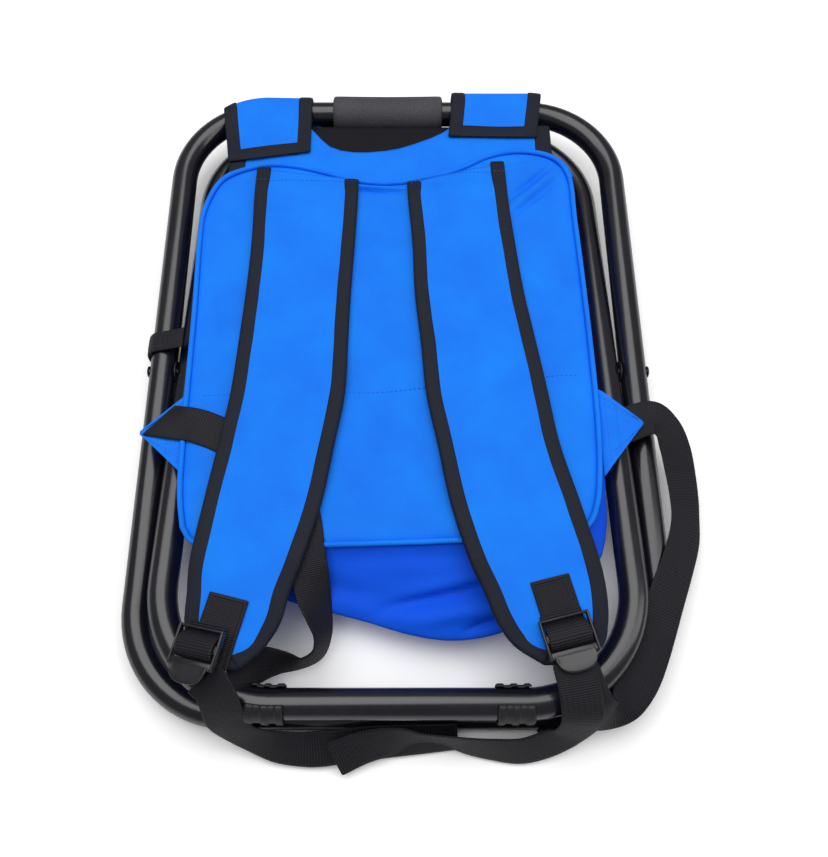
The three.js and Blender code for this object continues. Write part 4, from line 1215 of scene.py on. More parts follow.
@dataclass
class Strap:
    """A padded shoulder strap with bound edges."""

    side: str
    middle: float
    tops: tuple[tuple[float, float], tuple[float, float]]
    sewn: tuple
    rows: tuple
    width: float = 78.12
    length: float = 369.15
    top_y: float = 158.03
    base: float = 46.8
    raised: float = 48.5
    thickness: float = 6.2

    def __post_init__(self) -> None:
        """Makes the two edge lines, which start at the piping."""
        self.edges = [Route([(*top, 0), *((self.middle + row[side] * self.width,
                                           self.top_y - row[0] * self.length, 0) for row in self.rows)])
                      for side, top in ((1, self.tops[0]), (2, self.tops[1]))]

    def middle_line(self, across: float, along: float) -> Vector:
        """Point of the strap's middle surface.

        Args:
            across: share of the width, from the left.
            along: share along the strap.

        Returns:
            The point in the row frame.
        """
        spot = self.edges[0].at(along).lerp(self.edges[1].at(along), across)
        spot.z = self.bottom(along) + self.edge_height(along)
        return spot

    def bottom(self, along: float) -> float:
        """Height of the strap's underside."""
        down = (self.top_y - self.edges[0].at(along).y) / self.length
        return lerp(self.base, self.raised, smoothstep(down, 0.4, 0.5))

    def edge_height(self, along: float) -> float:
        """Half of the strap's height at its bound edges."""
        return lerp(1.3, 2.3, smoothstep(along, 0.0, 0.06))

    def place(self, around: float, along: float) -> Vector:
        """Point of the pad: the top from left to right, then the underside back.

        Args:
            around: share of the way round the section.
            along: share along the strap.

        Returns:
            The point in the row frame.
        """
        over = around % 1.0
        across = 0.5 - 0.5 * math.cos((2 * over if over < 0.5 else 2 - 2 * over) * math.pi)
        spot = self.edges[0].at(along).lerp(self.edges[1].at(along), across)
        spot.z = self.bottom(along)
        if over < 0.5:
            crown = (1 - abs(2 * across - 1) ** 5) ** 0.5
            top, tip = smoothstep(along, 0.0, 0.07), smoothstep(1 - along, 0.0, 0.1)
            wave = 0.35 * noise.noise(Vector((spot.x, spot.y, 5.0)) / 24)
            swell = 0.82 + 0.18 * (1 - (2 * across - 1) ** 2)
            full = lerp(0.35, 1.0, top) * lerp(0.6, 1.0, tip)
            spot.z += max(0.0, self.thickness * full * crown * swell + wave * crown)
        return spot

    def top_at(self, x: float, y: float) -> Vector:
        """Point on top of the strap or its tapes.

        Args:
            x: the place across the stool.
            y: the place along the stool, near the strap's top.

        Returns:
            The point, just above the cloth.
        """
        def section(along: float) -> tuple[float, float]:
            """Share across the strap at the x, and the strap's y there."""
            left, right = (edge.at(along) for edge in self.edges)
            across = (x - left.x) / (right.x - left.x)
            return across, lerp(left.y, right.y, across)

        along = halved(0.0, 0.25, lambda share: section(share)[1] > y)
        across = section(along)[0]
        turn = math.acos(1 - 2 * min(1.0, max(0.0, across))) / math.pi / 2
        height = self.place(turn, along).z
        if min(across, 1 - across) * self.width < 10.5:
            height = max(height, self.bottom(along) + 2 * self.edge_height(along) + 0.75)
        return Vector((x, y, height + 0.2))

    def build(self) -> None:
        """Builds the pad, its bindings and the stitches along its top."""
        pad = Shape(f"strap_pad_{self.side}").sheet(56, 120, self.place, (2 * self.width, self.length))
        piece = pad.closed().finished(BLUE_CLOTH, flat=True)
        put(piece, "bag_back", f"shoulder_strap_{self.side}")
        name = f"strap_{self.side}_binding_"
        for end, side in (("a", 0), ("b", 1)):
            put(bound_edge(name + end, self.middle_line, side,
                           lambda share: self.edge_height(share) + 0.75, steps=110), "bag_back")
        put(bound_edge(name + "tip", lambda s, t: self.middle_line(t, 1 - s), 0,
                       lambda share: self.edge_height(1.0) + 0.6, steps=20), "bag_back")
        row = [self.top_at(spot.x, spot.y) for spot in Route([(*spot, 0) for spot in self.sewn]).trace(24)]
        put(stitching(f"strap_{self.side}_top_stitches", [row], BLUE_THREAD), "bag_back")


LEFT_STRAP = Strap(
    "left", -70.02, ((-109.0, 165.2), (-31.4, 153.8)), ((-110, 152), (-75, 152), (-31.5, 152)),
    ((0.06, -0.498, 0.493), (0.171, -0.487, 0.474), (0.29, -0.5, 0.449), (0.404, -0.526, 0.436),
     (0.509, -0.551, 0.423), (0.61, -0.615, 0.346), (0.721, -0.692, 0.256), (0.827, -0.756, 0.115),
     (0.878, -0.75, 0.032), (0.927, -0.744, -0.026), (0.967, -0.692, -0.141), (1, -0.538, -0.308)))
RIGHT_STRAP = Strap(
    "right", 43.92, ((7.7, 151.4), (82.0, 171.2)), ((9, 149), (36, 159.6), (85, 160.6)),
    ((0.06, -0.455, 0.5), (0.171, -0.415, 0.538), (0.29, -0.397, 0.59), (0.404, -0.346, 0.667),
     (0.509, -0.308, 0.731), (0.61, -0.218, 0.795), (0.721, -0.122, 0.923), (0.827, 0.026, 1.038),
     (0.878, 0.128, 1.064), (0.927, 0.218, 1.051), (0.962, 0.333, 1), (0.992, 0.551, 0.808)))


def rounded_outline(half_width: float, bottom: float, top: float, radius: float) -> Route:
    """Closed line round a rounded rectangle.

    Args:
        half_width: half of its width.
        bottom: its lowest y.
        top: its highest y.
        radius: the radius of its corners.

    Returns:
        The line, from the right side's top corner to the left.
    """
    points = []
    corners = ((1, 1, (-1, 0, 0)), (-1, 1, (0, -1, 0)), (-1, -1, (1, 0, 0)), (1, -1, (0, 1, 0)))
    for quarter, (sign_x, sign_y, way) in enumerate(corners):
        middle = Vector((sign_x * (half_width - radius), top - radius if sign_y > 0 else bottom + radius, 0))
        for step in range(7):
            angle = (quarter / 2 + step / 12) * math.pi
            points.append(middle + radius * Vector((math.cos(angle), math.sin(angle), 0)))
        points.append(points[-1] + Vector(way) * 40)
    return Route([*points, points[0]])


@dataclass
class Bag:
    """Front panel, linings, gussets, lid and zip of the cooler bag."""
    half_width: float = 137.5
    top: float = 150.0
    bottom: float = -134.9
    low: float = 2.3
    high: float = 42.7
    yoke_foot: float = 150.3
    yoke_top: float = 216.0
    yoke_height: float = 3.9
    yoke_width: tuple = ((150.3, 123.75), (189, 123.75), (216, 93.5))
    lid_top: float = 148.4
    lid_half: float = 134.0
    zip_y: float = 114.1
    zip_height: float = 22.5
    slider_x: float = -113.0
    seam_points: tuple = (
        (-139, 122), (-144, 90), (-143.5, 30), (-141.5, -40), (-139, -85), (-134, -109), (-122, -126),
        (-100, -134), (-60, -135), (-20, -134), (10, -133.5), (35, -133), (62, -132.5), (90, -131),
        (108, -126), (119, -117), (126.5, -103), (129.5, -85), (132.5, -50), (133.5, 0), (132.5, 60),
        (131.5, 122))
    shoulder_points: tuple = (
        (-138.8, 122), (-143, 90), (-143, 30), (-142.5, -40), (-140, -86), (-135, -111), (-123, -129),
        (-101, -138.5), (-60, -142), (-20, -142.5), (10, -142), (35, -141), (62, -140.5), (91, -141),
        (114, -138.5), (129, -133.5), (135.6, -117), (137.6, -94), (138.6, -60), (139.3, 0), (137, 60),
        (135, 122))
    belly_points: tuple = (
        (-137.8, 122), (-138, 90), (-138, 30), (-138, -40), (-138, -88), (-136.5, -118), (-126, -141),
        (-101, -156), (-60, -168), (-20, -178.5), (10, -187), (36, -190), (66, -185), (95, -170),
        (118, -152), (130, -142), (136.5, -124), (138, -98), (138, -60), (138, 0), (137.5, 60),
        (136.5, 122))
    bottom_folds: tuple[Crease, ...] = (
        Crease((-6, -172), (92, -150), -6.5, 4.0), Crease((16, -178), (88, -166), 3.6, 4.5),
        Crease((46, -184), (98, -168), -5.5, 2.4), Crease((10, -163), (96, -142), 2.6, 4.0),
        Crease((-80, -152), (6, -168), -2.2, 7), Crease((-20, -146), (70, -147), 1.4, 5))

    def __post_init__(self) -> None:
        """Makes the lines round the wall, and room for the sections across it."""
        self.middle = (self.low + self.high) / 2
        self.rings = self.wall_rings()
        self.sections: dict[float, tuple[Route, float]] = {}

    def slab(self, name: str, rim: Route, low: float, high: float, finish: Finish, node: str,
             body: str) -> Piece:
        """A flat soft sheet with a rolled rim.

        Args:
            name: the piece's name.
            rim: its closed outline.
            low: the height of its underside.
            high: the height of its top.
            finish: its finish.
            node: the CAD node that it replaces.
            body: the body that it rides on.

        Returns:
            The piece.
        """
        upper = [(0.0, 0), (0.25, 0), (0.5, 0), (0.75, 0), (0.9, 0), (0.97, 0), (0.995, 0.1)]
        rings = [*upper, (1.0, 0.5), *((out, 1 - down) for out, down in reversed(upper))]
        place = disc_place(rim, Vector(), rings, lambda spot, down: lerp(high, low, down))
        shape = Shape(name).sheet(144, (len(rings) - 1) * 2, place, (1, 1)).closed()
        return put(shape.finished(finish, flat=True), body, node)

    def panels(self) -> None:
        """Front panel with its yoke, and the linings of both panels."""
        rim = rounded_outline(self.half_width, self.bottom, self.top, 30.0)
        front = self.slab("front_panel_cloth", rim, 0.0, 2.0, BLUE_CLOTH, "front_panel", "bag_front")
        for side, foam, film, edge, flat, area in (
                ("back", (38.9, 42.7), (38.1, 38.6), (127.0, -125.0, 135.0, 40.0), (0.254, 0.26), 0.0647),
                ("front", (2.3, 6.1), (6.4, 6.9), (132.0, -129.4, 135.0, 30.0), (0.264, 0.2645), 0.069)):
            body, lining = f"bag_{side}", rounded_outline(*edge)
            pad = self.slab(f"{side}_foam_sheet", lining, *foam, WHITE_FOAM, f"{side}_insulation", body)
            liner = self.slab(f"{side}_liner_film", lining, *film, SILVER_LINER, f"{side}_liner", body)

        def place(across: float, along: float) -> Vector:
            """Point of the front yoke."""
            y = lerp(self.yoke_foot, self.yoke_top, along)
            x = (2 * across - 1) * table_value(self.yoke_width, y)
            return Vector((x, y, self.yoke_height + 0.3 * math.sin(along * 9) * math.sin(across * 14)))

        yoke = Shape("front_yoke_cloth").sheet(60, 24, place, (247, 66)).finished(BLUE_CLOTH, wall=1.3)
        put(yoke, "bag_front", "front_yoke")

    def halves(self, name: str, node: str, place: Place, spans: tuple[int, int],
               size: tuple[float, float]) -> None:
        """Makes a gusset in two halves, each baked in place.

        Args:
            name: the piece's name.
            node: the CAD node that both halves replace.
            place: gives the point across the cloth and from the back panel to the front panel.
            spans: grid spans across and along one half.
            size: the cut size of the whole gusset.
        """
        heights = (self.high * MM, self.middle * MM, self.low * MM)
        for index, part in enumerate(("back", "front")):
            def half(across: float, along: float, start: float = index / 2) -> Vector:
                """Point of one half."""
                return place(across, start + along / 2)

            shape = Shape(f"{name}_{part}_half").sheet(*spans, half, (size[0], size[1] / 2))
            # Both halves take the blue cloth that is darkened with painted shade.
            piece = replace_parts(shape.finished(BLUE_CLOTH_PAINTED_SHADE, wall=1.2), node)
            start, end = ((0, 0, height) for height in heights[index:index + 2])
            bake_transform(piece)
            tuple(start)
            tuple(end)

    def wall_rings(self) -> list[Route]:
        """Lines round the bag's wall from the back panel's seam down to the front panel's.

        Returns:
            The lines, with matching points.
        """
        seam = [(x, y, self.high) for x, y in self.seam_points]
        belly = [(x, y, self.middle) for x, y in self.belly_points]
        edge = [(max(-136.4, min(136.4, x)), max(y, self.bottom + 0.4), self.low) for x, y, _ in belly]
        shoulder = [(*far, 40.6 - 0.36 * math.dist(far, near))
                    for far, near in zip(self.shoulder_points, self.seam_points)]
        rings = [seam, shoulder]
        for first, free, tight, z in ((shoulder, 0.45, 0.75, 31.5), (shoulder, 0.86, 0.95, 26.5),
                                      (shoulder, 1.0, 1.0, self.middle), (edge, 0.88, 1.0, 17.0),
                                      (edge, 0.5, 1.0, 8.5), (edge, 0.0, 0.0, self.low)):
            ring = []
            for near, far in zip(first, belly):
                share = lerp(free, tight, smoothstep(abs(far[0]), 100, 136))
                ring.append((lerp(near[0], far[0], share), lerp(near[1], far[1], share), z))
            rings.append(ring)
        return [Route(ring) for ring in rings]

    def section(self, share: float) -> tuple[Route, float]:
        """Section across the wall.

        Args:
            share: share of the way round the bag, from the lid's left end.

        Returns:
            The section's line, and the share of it that lies above the middle height.
        """
        if share not in self.sections:
            line = Route([ring.at(share) for ring in self.rings])
            self.sections[share] = (line, halved(0.0, 1.0, lambda spot: line.at(spot).z > self.middle))
        return self.sections[share]

    def wall(self, start: float, end: float) -> Place:
        """Part of the bag's wall between two shares of the way round it.

        Args:
            start: where the part begins, with 0 at the left end of the lid.
            end: where it ends, with 1 at the right end of the lid.

        Returns:
            The part's place function, across along the rim and along from the back to the front.
        """
        def place(across: float, along: float) -> Vector:
            """Point of the wall."""
            line, split = self.section(lerp(start, end, across))
            spot = line.at(2 * along * split if along < 0.5 else lerp(split, 1.0, 2 * along - 1))
            push = math.sin(math.pi * along) * (1 - math.exp(-(((along - 0.5) / 0.03) ** 2)))
            if spot.y < self.bottom:
                rise = lerp(1.4, 4.0, smoothstep(along, 0.15, 0.3))
                fold = min(rise, creased(self.bottom_folds, spot.x, spot.y)) * min(1.0, 5 * along)
                fold = fold * (1 - smoothstep(along, 0.44, 0.5)) + 0.8 * noise.noise(spot / 21) * push
                spot = spot + Vector((0, -0.45, 0.9)) * fold
            elif abs(spot.x) < 139:
                pucker = 0.5 * noise.noise(Vector((spot.x / 40, spot.y / 9, spot.z / 14))) * push
                spot = spot - Vector((math.copysign(abs(pucker), spot.x), 0, 0))
            spot.z = min(self.high, max(0.9, spot.z))
            return spot
        return place

    def gussets(self) -> None:
        """Bottom and side gussets: one sagging shell round the rim in three cuts."""
        for name, start, end, spans, size in (("side_gusset_left", 0.0, 0.225, (70, 16), (240, 48)),
                                              ("bottom_gusset", 0.225, 0.765, (170, 30), (300, 92)),
                                              ("side_gusset_right", 0.765, 1.0, (70, 16), (240, 48))):
            self.halves(name, name, self.wall(start, end), spans, size)

    def lid(self) -> None:
        """Folded lid, which parts at the zip in its crease."""
        shares = ((0, 1), (0.5, 0.78), (1, 0.64), (1, 0.5), (1, 0.36), (0.5, 0.22), (0, 0))
        line = Route([(0, self.lid_top - depth * 36, 3.1 + rise * 38.8) for depth, rise in shares])

        def place(across: float, along: float) -> Vector:
            """Point of the lid."""
            spot = line.at(along)
            wave = 0.8 * math.sin(across * 19) * math.sin(math.pi * 2 * along)
            return Vector(((2 * across - 1) * self.lid_half, spot.y, spot.z + wave))

        self.halves("lid", "bag_lid", place, (90, 16), (268, 110))

    def zip_spot(self, x: float, y: float, rise: float = 0.0) -> Matrix:
        """A place near the zip, from its own height."""
        return Matrix.Translation((x, y, self.zip_height + rise))

    def zip(self) -> None:
        """Zip in the lid's crease: tape, teeth, slider and pull."""
        def tape(across: float, along: float) -> Vector:
            """Point of the zip tape."""
            return Vector((122 * (2 * along - 1), self.zip_y, self.zip_height + 3.5 * (2 * across - 1)))

        piece = Shape("zip_tape_cloth").sheet(6, 120, tape, (7, 244)).finished(BLACK_TAPE, wall=0.8)
        put(piece, "bag_middle", "zip_tape")
        teeth = Shape("zip_teeth")
        for step in range(118):
            spot = self.zip_spot(-117 + 2.0 * step, self.zip_y + 0.6, 0.7 if step % 2 else -0.7)
            teeth.block((1.1, 1.0, 2.4), spot)
        put(teeth.finished(BUCKLE_PLASTIC, levels=1), "bag_middle")
        x = self.slider_x
        body = Shape("zip_slider_body").block((9, 3.8, 7.6), self.zip_spot(x, 117.2), 1.2, 3)
        body.block((3.2, 2.4, 2.0), self.zip_spot(x, 119.0), 0.6)
        put(body.finished(BUCKLE_PLASTIC, sharp=40), "zip_runner", "zip_slider")
        pull = Shape("zip_pull_tab").block((5, 19, 1.3), self.zip_spot(x, 129.8), 0.5)
        for step in range(4):
            pull.block((3.6, 1.0, 1.9), self.zip_spot(x, 129 + 2.4 * step), 0.3, 1)
        put(pull.finished(BUCKLE_PLASTIC, sharp=40), "zip_runner", "zip_pull")

    def build(self) -> None:
        """Builds the bag's hidden and lower parts."""
        self.panels()
        self.gussets()
        self.lid()
        self.zip()


@dataclass
class Seat:
    """Black seat cloth, folded inwards between the two top bars."""

    rows: tuple = ((0, 1), (0.5, 1), (0.82, 0.93), (1, 0.5), (0.82, 0.07), (0.5, 0), (0, 0))
    outer_y: float = 218.95
    inner_y: float = 214.95
    fold_y: float = 184.0
    heights: tuple[float, float] = (11.5, 34.96)
    half_widths: tuple[float, float] = (97.2, 123.8)

    def build(self) -> None:
        """Builds the seat cloth, baked in place."""
        points = [(lerp(self.outer_y if rise > 0.5 else self.inner_y, self.fold_y, depth),
                   lerp(*self.heights, rise), lerp(*self.half_widths, min(1, 2 * rise)))
                  for depth, rise in self.rows]
        line = Route(points)

        def place(across: float, along: float) -> Vector:
            """Point of the seat cloth."""
            y, z, half = line.at(along)
            x = (2 * across - 1) * half
            wave = 0.7 * noise.noise(Vector((x, y, z)) / 22) * math.sin(math.pi * along)
            return Vector((x, y + wave, z + wave * 0.4))

        length = line.length()
        shape = Shape("seat_cloth_sheet").sheet(90, 48, place, (248, length))
        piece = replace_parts(shape.finished(BLACK_CLOTH, wall=1.3), "seat_cloth")
        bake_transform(piece)


@dataclass
class Webbing:
    """Flat webbing along rows of place, as shares of the stool's half sizes, and facing, if not upwards."""

    name: str
    rows: tuple
    width: float = 25.0
    slant: float = 0.0
    thickness: float = 1.25
    scale: Triple = (180.0, 243.5, 46.5)

    def __post_init__(self) -> None:
        """Makes the lines of its middle and of its facing."""
        self.line = Route([[share * size for share, size in zip(row, self.scale)] for row in self.rows])
        self.facing = Route([Vector(row[3:] or UP).normalized() for row in self.rows])

    def place(self, across: float, along: float) -> Vector:
        """Point of the webbing, a little cupped across its width.

        Args:
            across: share of the width.
            along: share of the length.

        Returns:
            The point in the row frame.
        """
        run = self.line.along(along)
        out = run.cross(self.facing.at(along)).normalized()
        side = 2 * across - 1
        middle = self.line.at(along)
        ease = 0.3 * noise.noise(middle / 19) * (1 - abs(side)) + 0.35 * (0.4 - side * side)
        back = self.slant * side * (1 - smoothstep(along, 0.0, 0.09))
        return middle + out * side * self.width / 2 + out.cross(run) * ease - run * back

    def build(self) -> Piece:
        """Builds the webbing."""
        size = (self.width, self.line.length())
        shape = Shape(self.name).sheet(8, 8 * (len(self.rows) - 1), self.place, size)
        return shape.finished(BLACK_WEBBING, wall=self.thickness, levels=1)


RIGHT_WEBBING = (
    (0.784, -0.223, 0.903), (0.853, -0.209, 0.914), (0.922, -0.188, 0.903, 0.05, 0, 1),
    (0.978, -0.18, 0.882, 0.1, 0, 1), (1.024, -0.204, 0.817, 0.2, 0.1, 0.97),
    (1.056, -0.255, 0.688, 0.22, 0, 0.97), (1.073, -0.322, 0.581, 0.28, 0, 0.96),
    (1.082, -0.408, 0.484, 0.38, 0, 0.92), (1.066, -0.499, 0.473, 0.38, 0, 0.92),
    (1.016, -0.59, 0.516, 0.33, 0, 0.94), (0.956, -0.68, 0.559, 0.14, 0, 0.99),
    (0.91, -0.76, 0.553, 0.05, 0, 1), (0.872, -0.823, 0.553), (0.831, -0.882, 0.553, 0, -0.1, 0.99),
    (0.779, -0.933, 0.553, 0.1, -0.3, 0.93), (0.71, -0.969, 0.645, 0.2, -0.75, 0.62),
    (0.661, -0.965, 0.86, 0.1, -0.6, 0.8), (0.625, -0.931, 1.043, 0, -0.2, 1),
    (0.594, -0.885, 1.178, 0, -0.3, 0.9), (0.571, -0.846, 1.2), (0.556, -0.806, 1.2))
RIGHT_TAIL = (
    (0.568, -0.854, 1.249), (0.579, -0.896, 1.245, 0, -0.2, 0.93), (0.591, -0.944, 1.161, 0, -0.45, 0.87),
    (0.599, -0.98, 0.989, 0, -0.75, 0.65), (0.592, -1.002, 0.71, 0.05, -0.88, 0.46),
    (0.557, -1.019, 0.43, 0.08, -0.82, 0.56), (0.497, -1.036, 0.312, 0.05, -0.8, 0.6),
    (0.422, -1.049, 0.269, 0, -0.82, 0.57), (0.334, -1.046, 0.28, 0, -0.88, 0.47),
    (0.252, -1.039, 0.297, 0, -0.93, 0.35), (0.197, -1.031, 0.312, 0, -0.97, 0.24),
    (0.136, -1.024, 0.323, 0, -0.98, 0.17), (0.075, -1.022, 0.333, 0, -0.97, 0.22),
    (0.013, -1.023, 0.344, 0, -0.86, 0.5), (-0.055, -1.03, 0.333, 0, -0.75, 0.66),
    (-0.136, -1.045, 0.301, 0, -0.68, 0.73), (-0.218, -1.069, 0.247, 0, -0.6, 0.8))
LEFT_WEBBING = (
    (-0.902, -0.199, 1.009), (-0.839, -0.207, 1.032), (-0.759, -0.216, 1.032), (-0.655, -0.246, 1.032),
    (-0.544, -0.281, 1.024), (-0.444, -0.33, 1.024), (-0.376, -0.402, 1.024), (-0.342, -0.485, 1.024),
    (-0.327, -0.555, 1.024), (-0.314, -0.61, 1.006, 0.03, 0, 1), (-0.296, -0.666, 0.882, 0.4, -0.1, 0.88),
    (-0.276, -0.72, 0.731, 0.75, -0.1, 0.62), (-0.261, -0.775, 0.645, 0.92, -0.2, 0.35),
    (-0.277, -0.82, 0.613, 0.6, -0.78, 0.14), (-0.337, -0.845, 0.624, 0, -0.98, 0.16),
    (-0.4, -0.846, 0.71, 0, -0.86, 0.5), (-0.459, -0.852, 0.828, 0, -0.55, 0.83),
    (-0.52, -0.861, 0.946, 0, -0.25, 0.97), (-0.569, -0.87, 1.006))
LEFT_TAIL = (
    (-0.627, -0.891, 1.254, -0.31, 0, 0.95), (-0.599, -0.915, 1.215, -0.25, -0.2, 0.94),
    (-0.582, -0.939, 1.135, -0.1, -0.4, 0.9), (-0.573, -0.962, 1.011, 0, -0.6, 0.8),
    (-0.566, -0.985, 0.817, 0.05, -0.8, 0.6), (-0.539, -1.006, 0.581, 0.05, -0.93, 0.37),
    (-0.485, -1.023, 0.387, 0.05, -0.85, 0.5), (-0.41, -1.039, 0.28, 0, -0.68, 0.73),
    (-0.322, -1.045, 0.241, 0, -0.6, 0.8), (-0.223, -1.041, 0.237, 0, -0.6, 0.8),
    (-0.124, -1.032, 0.241, 0, -0.62, 0.78), (-0.011, -1.025, 0.249, 0, -0.68, 0.73),
    (0.103, -1.02, 0.262, 0, -0.76, 0.65), (0.205, -1.015, 0.275, 0, -0.82, 0.57))
TIE = (
    (-0.852, 0.078, 0.905), (-0.892, 0.078, 0.84, -0.2, 0, 0.97), (-0.944, 0.078, 0.777, -0.1, 0, 1),
    (-0.984, 0.078, 0.722, -0.5, 0, 0.8), (-1.011, 0.077, 0.59, -0.92, 0, 0.4),
    (-1.014, 0.076, 0.44, -1, 0, -0.05), (-1.01, 0.074, 0.3, -0.95, 0, -0.3))


@dataclass
class Harness:
    """Straps, webbing, tabs, patches and adjusters."""

    buckle_width: float = 31.0
    buckle_length: float = 24.0
    buckle_height: float = 4.5
    tab_height: float = 44.7
    tab_foot: float = -87.9
    patch_length: float = 42.0
    patch_height: float = 55.4
    webbing_width: float = 25.0
    yaw: float = math.radians(14)

    def webbing(self) -> None:
        """The loose webbing and the tie strap."""
        for name, node, rows, width, slant in (
                ("right_lower_webbing", "lower_webbing_right", RIGHT_WEBBING, self.webbing_width, 0.0),
                ("left_lower_webbing", "lower_webbing_left", LEFT_WEBBING, self.webbing_width, 8.5),
                ("right_free_tail", "webbing_tail_right", RIGHT_TAIL, self.webbing_width, 0.0),
                ("left_free_tail", "webbing_tail_left", LEFT_TAIL, self.webbing_width, 0.0),
                ("frame_tie", "tie_strap", TIE, 16.0, 0.0)):
            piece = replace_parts(Webbing(name, rows, width, slant).build(), node)
            if rows is LEFT_WEBBING:
                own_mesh(piece)
            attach(piece, "bag_back")

    def tab(self, side: str, base_x: float, top: float, apex: tuple[float, float]) -> None:
        """Triangular cloth tab at a side of the panel, hemmed and stitched along its edges.

        Args:
            side: left or right.
            base_x: the x of its root on the panel's side.
            top: the y of its root's upper end.
            apex: the place of its tip.
        """
        def place(across: float, along: float) -> Vector:
            """Point of the tab."""
            y = lerp(lerp(self.tab_foot, top, across), apex[1] + (across - 0.5) * 1.6, along)
            hem = 0.8 * (smoothstep(abs(2 * across - 1), 0.82, 0.86) if along < 0.88 else 1.0)
            root = 1.9 * (1 - smoothstep(along, 0.0, 0.14))
            height = self.tab_height + hem - root + 0.35 * math.sin(along * 3 + across * 4)
            return Vector((lerp(base_x, apex[0], along), y, height))

        shape = Shape(f"cloth_tab_{side}").sheet(44, 24, place, (65, 25))
        put(shape.finished(BLUE_CLOTH, wall=1.5, flat=True), "bag_back", f"webbing_tab_{side}")
        rows = [[place(across, step / 8) for step in range(1, 7)] for across in (0.16, 0.84)]
        rows += [[place(0.06 + 0.88 * step / 10, along) for step in range(11)] for along in (0.17, 0.42)]
        rows = [[spot + UP * 0.8 for spot in row] for row in rows]
        put(stitching(f"cloth_tab_stitches_{side}", rows, BLUE_THREAD, width=0.4), "bag_back")

    def patch(self, side: str, x: float, y: float, yaw: float) -> None:
        """Webbing patch sewn to a strap with a box of stitches, whose end runs on under the adjuster.

        Args:
            side: left or right.
            x: its middle across the stool.
            y: its middle along the stool.
            yaw: its turn in plan.
        """
        turn = Matrix.Translation((x, y, self.patch_height)) @ Matrix.Rotation(yaw, 4, "Z")
        length, width = self.patch_length, self.webbing_width

        def place(across: float, along: float) -> Vector:
            """Point of the patch."""
            side_share = abs(2 * across - 1)
            rim = min(along * length, (1 - side_share) * width / 2)
            ridge = 0.5 * math.exp(-(((rim - 1.2) / 1.1) ** 2)) - 0.3 * math.exp(-(((rim - 3.2) / 0.8) ** 2))
            fall = -0.8 * smoothstep(along, 0.45, 0.75) - 0.3 * side_share ** 4
            return turn @ Vector(((across - 0.5) * width, 11.5 - along * length, fall + ridge))

        shape = Shape(f"sewn_patch_{side}").sheet(24, 40, place, (width, length))
        put(shape.finished(BLACK_WEBBING, wall=1.3, levels=1), "bag_back", f"strap_patch_{side}")
        left, right, low, high = 0.13, 0.87, 0.075, 0.5
        box = [(left, low), (right, low), (right, high), (left, high), (left, low)]
        lines = [box, [(left, low), (right, high)], [(left, high), (right, low)]]
        rows = [[place(*spot) + UP * 0.72 for spot in line] for line in lines]
        # These stitches use the thread that is lightened with a painted highlight.
        put(stitching(f"sewn_patch_stitches_{side}", rows, BLACK_THREAD_PAINTED_HIGHLIGHT, 1.7, 2.4, 0.4), "bag_back")

    def buckle(self, side: str, spot: Triple, yaw: float, roll: float) -> None:
        """Ladder lock: side rails, cross bars, a lifting tongue and the webbing round its bars.

        Args:
            side: left or right.
            spot: its middle.
            yaw: its turn in plan.
            roll: its lean across its width.
        """
        turn = Matrix.Translation(spot) @ Matrix.Rotation(yaw, 4, "Z") @ Matrix.Rotation(roll, 4, "Y")
        shape = Shape(f"ladder_lock_body_{side}")
        width, length, height = self.buckle_width, self.buckle_length, self.buckle_height
        rail, bar, side_bar = width / 2 - 0.75, width - 2.4, (1.5, length, height)
        for size, place, bevel, segments in (
                (side_bar, (-rail, 0, 0), 0.65, 3), (side_bar, (rail, 0, 0), 0.65, 3),
                ((bar, 1.7, 4.2), (0, 11.0, 0), 0.9, 3), ((bar, 5.4, 3.4), (0, 0.3, 0), 0.9, 3),
                ((bar, 4.6, 4.2), (0, -9.6, 0), 0.9, 3),
                *(((width - 8, 0.5, 0.9), (0, 2.2 - step, height / 2 - 0.75), 0.15, 1) for step in range(5))):
            shape.block(size, turn @ Matrix.Translation(place), bevel, segments)
        put(shape.finished(BUCKLE_PLASTIC, sharp=35), "bag_back", f"ladder_lock_{side}")

        def tongue(across: float, along: float) -> Vector:
            """Point of the rounded tongue."""
            reach = 9.5 * math.sqrt(max(0.0, 1 - abs(2 * across - 1) ** 2.6))
            y = -length / 2 + 2 - along * (reach + 2)
            return turn @ Vector(((2 * across - 1) * 12.5, y, height / 2 - 1.0 + 0.9 * math.sin(along * 1.7)))

        flap = Shape(f"ladder_lock_tongue_{side}").sheet(24, 10, tongue, (25, 12))
        put(flap.finished(BUCKLE_PLASTIC, wall=1.7, levels=1), "bag_back")
        path = Route([(0, 15.0, -3.0), (0, 11.5, -3.2), (0, 8.4, -2.2), (0, 7.2, 0.4), (0, 5.0, 2.2),
                      (0, 1.5, 3.5), (0, -2.6, 3.2), (0, -5.4, 1.2), (0, -6.6, -1.4)])
        wrap_width = 26.4

        def wrap(across: float, along: float) -> Vector:
            """Point of the webbing that passes over the bars."""
            return turn @ (path.at(along) + Vector(((across - 0.5) * wrap_width, 0, 0)))

        loop = Shape(f"ladder_lock_webbing_{side}").sheet(8, 48, wrap, (wrap_width, path.length()))
        put(loop.finished(BLACK_WEBBING, wall=1.2, levels=1), "bag_back")

    def build(self) -> None:
        """Builds all of the harness."""
        LEFT_STRAP.build()
        RIGHT_STRAP.build()
        self.webbing()
        self.tab("left", -141.4, -25.0, (-173.9, -57.1))
        self.tab("right", 136.4, -22.6, (165.9, -49.8))
        self.patch("right", 95.4, -168.99, self.yaw)
        self.patch("left", -105.12, -180.19, -self.yaw)
        self.buckle("right", (101.02, -193.0, 59.05), self.yaw, 0.0)
        self.buckle("left", (-118.0, -200.0, 61.05), -self.yaw, math.radians(-18))


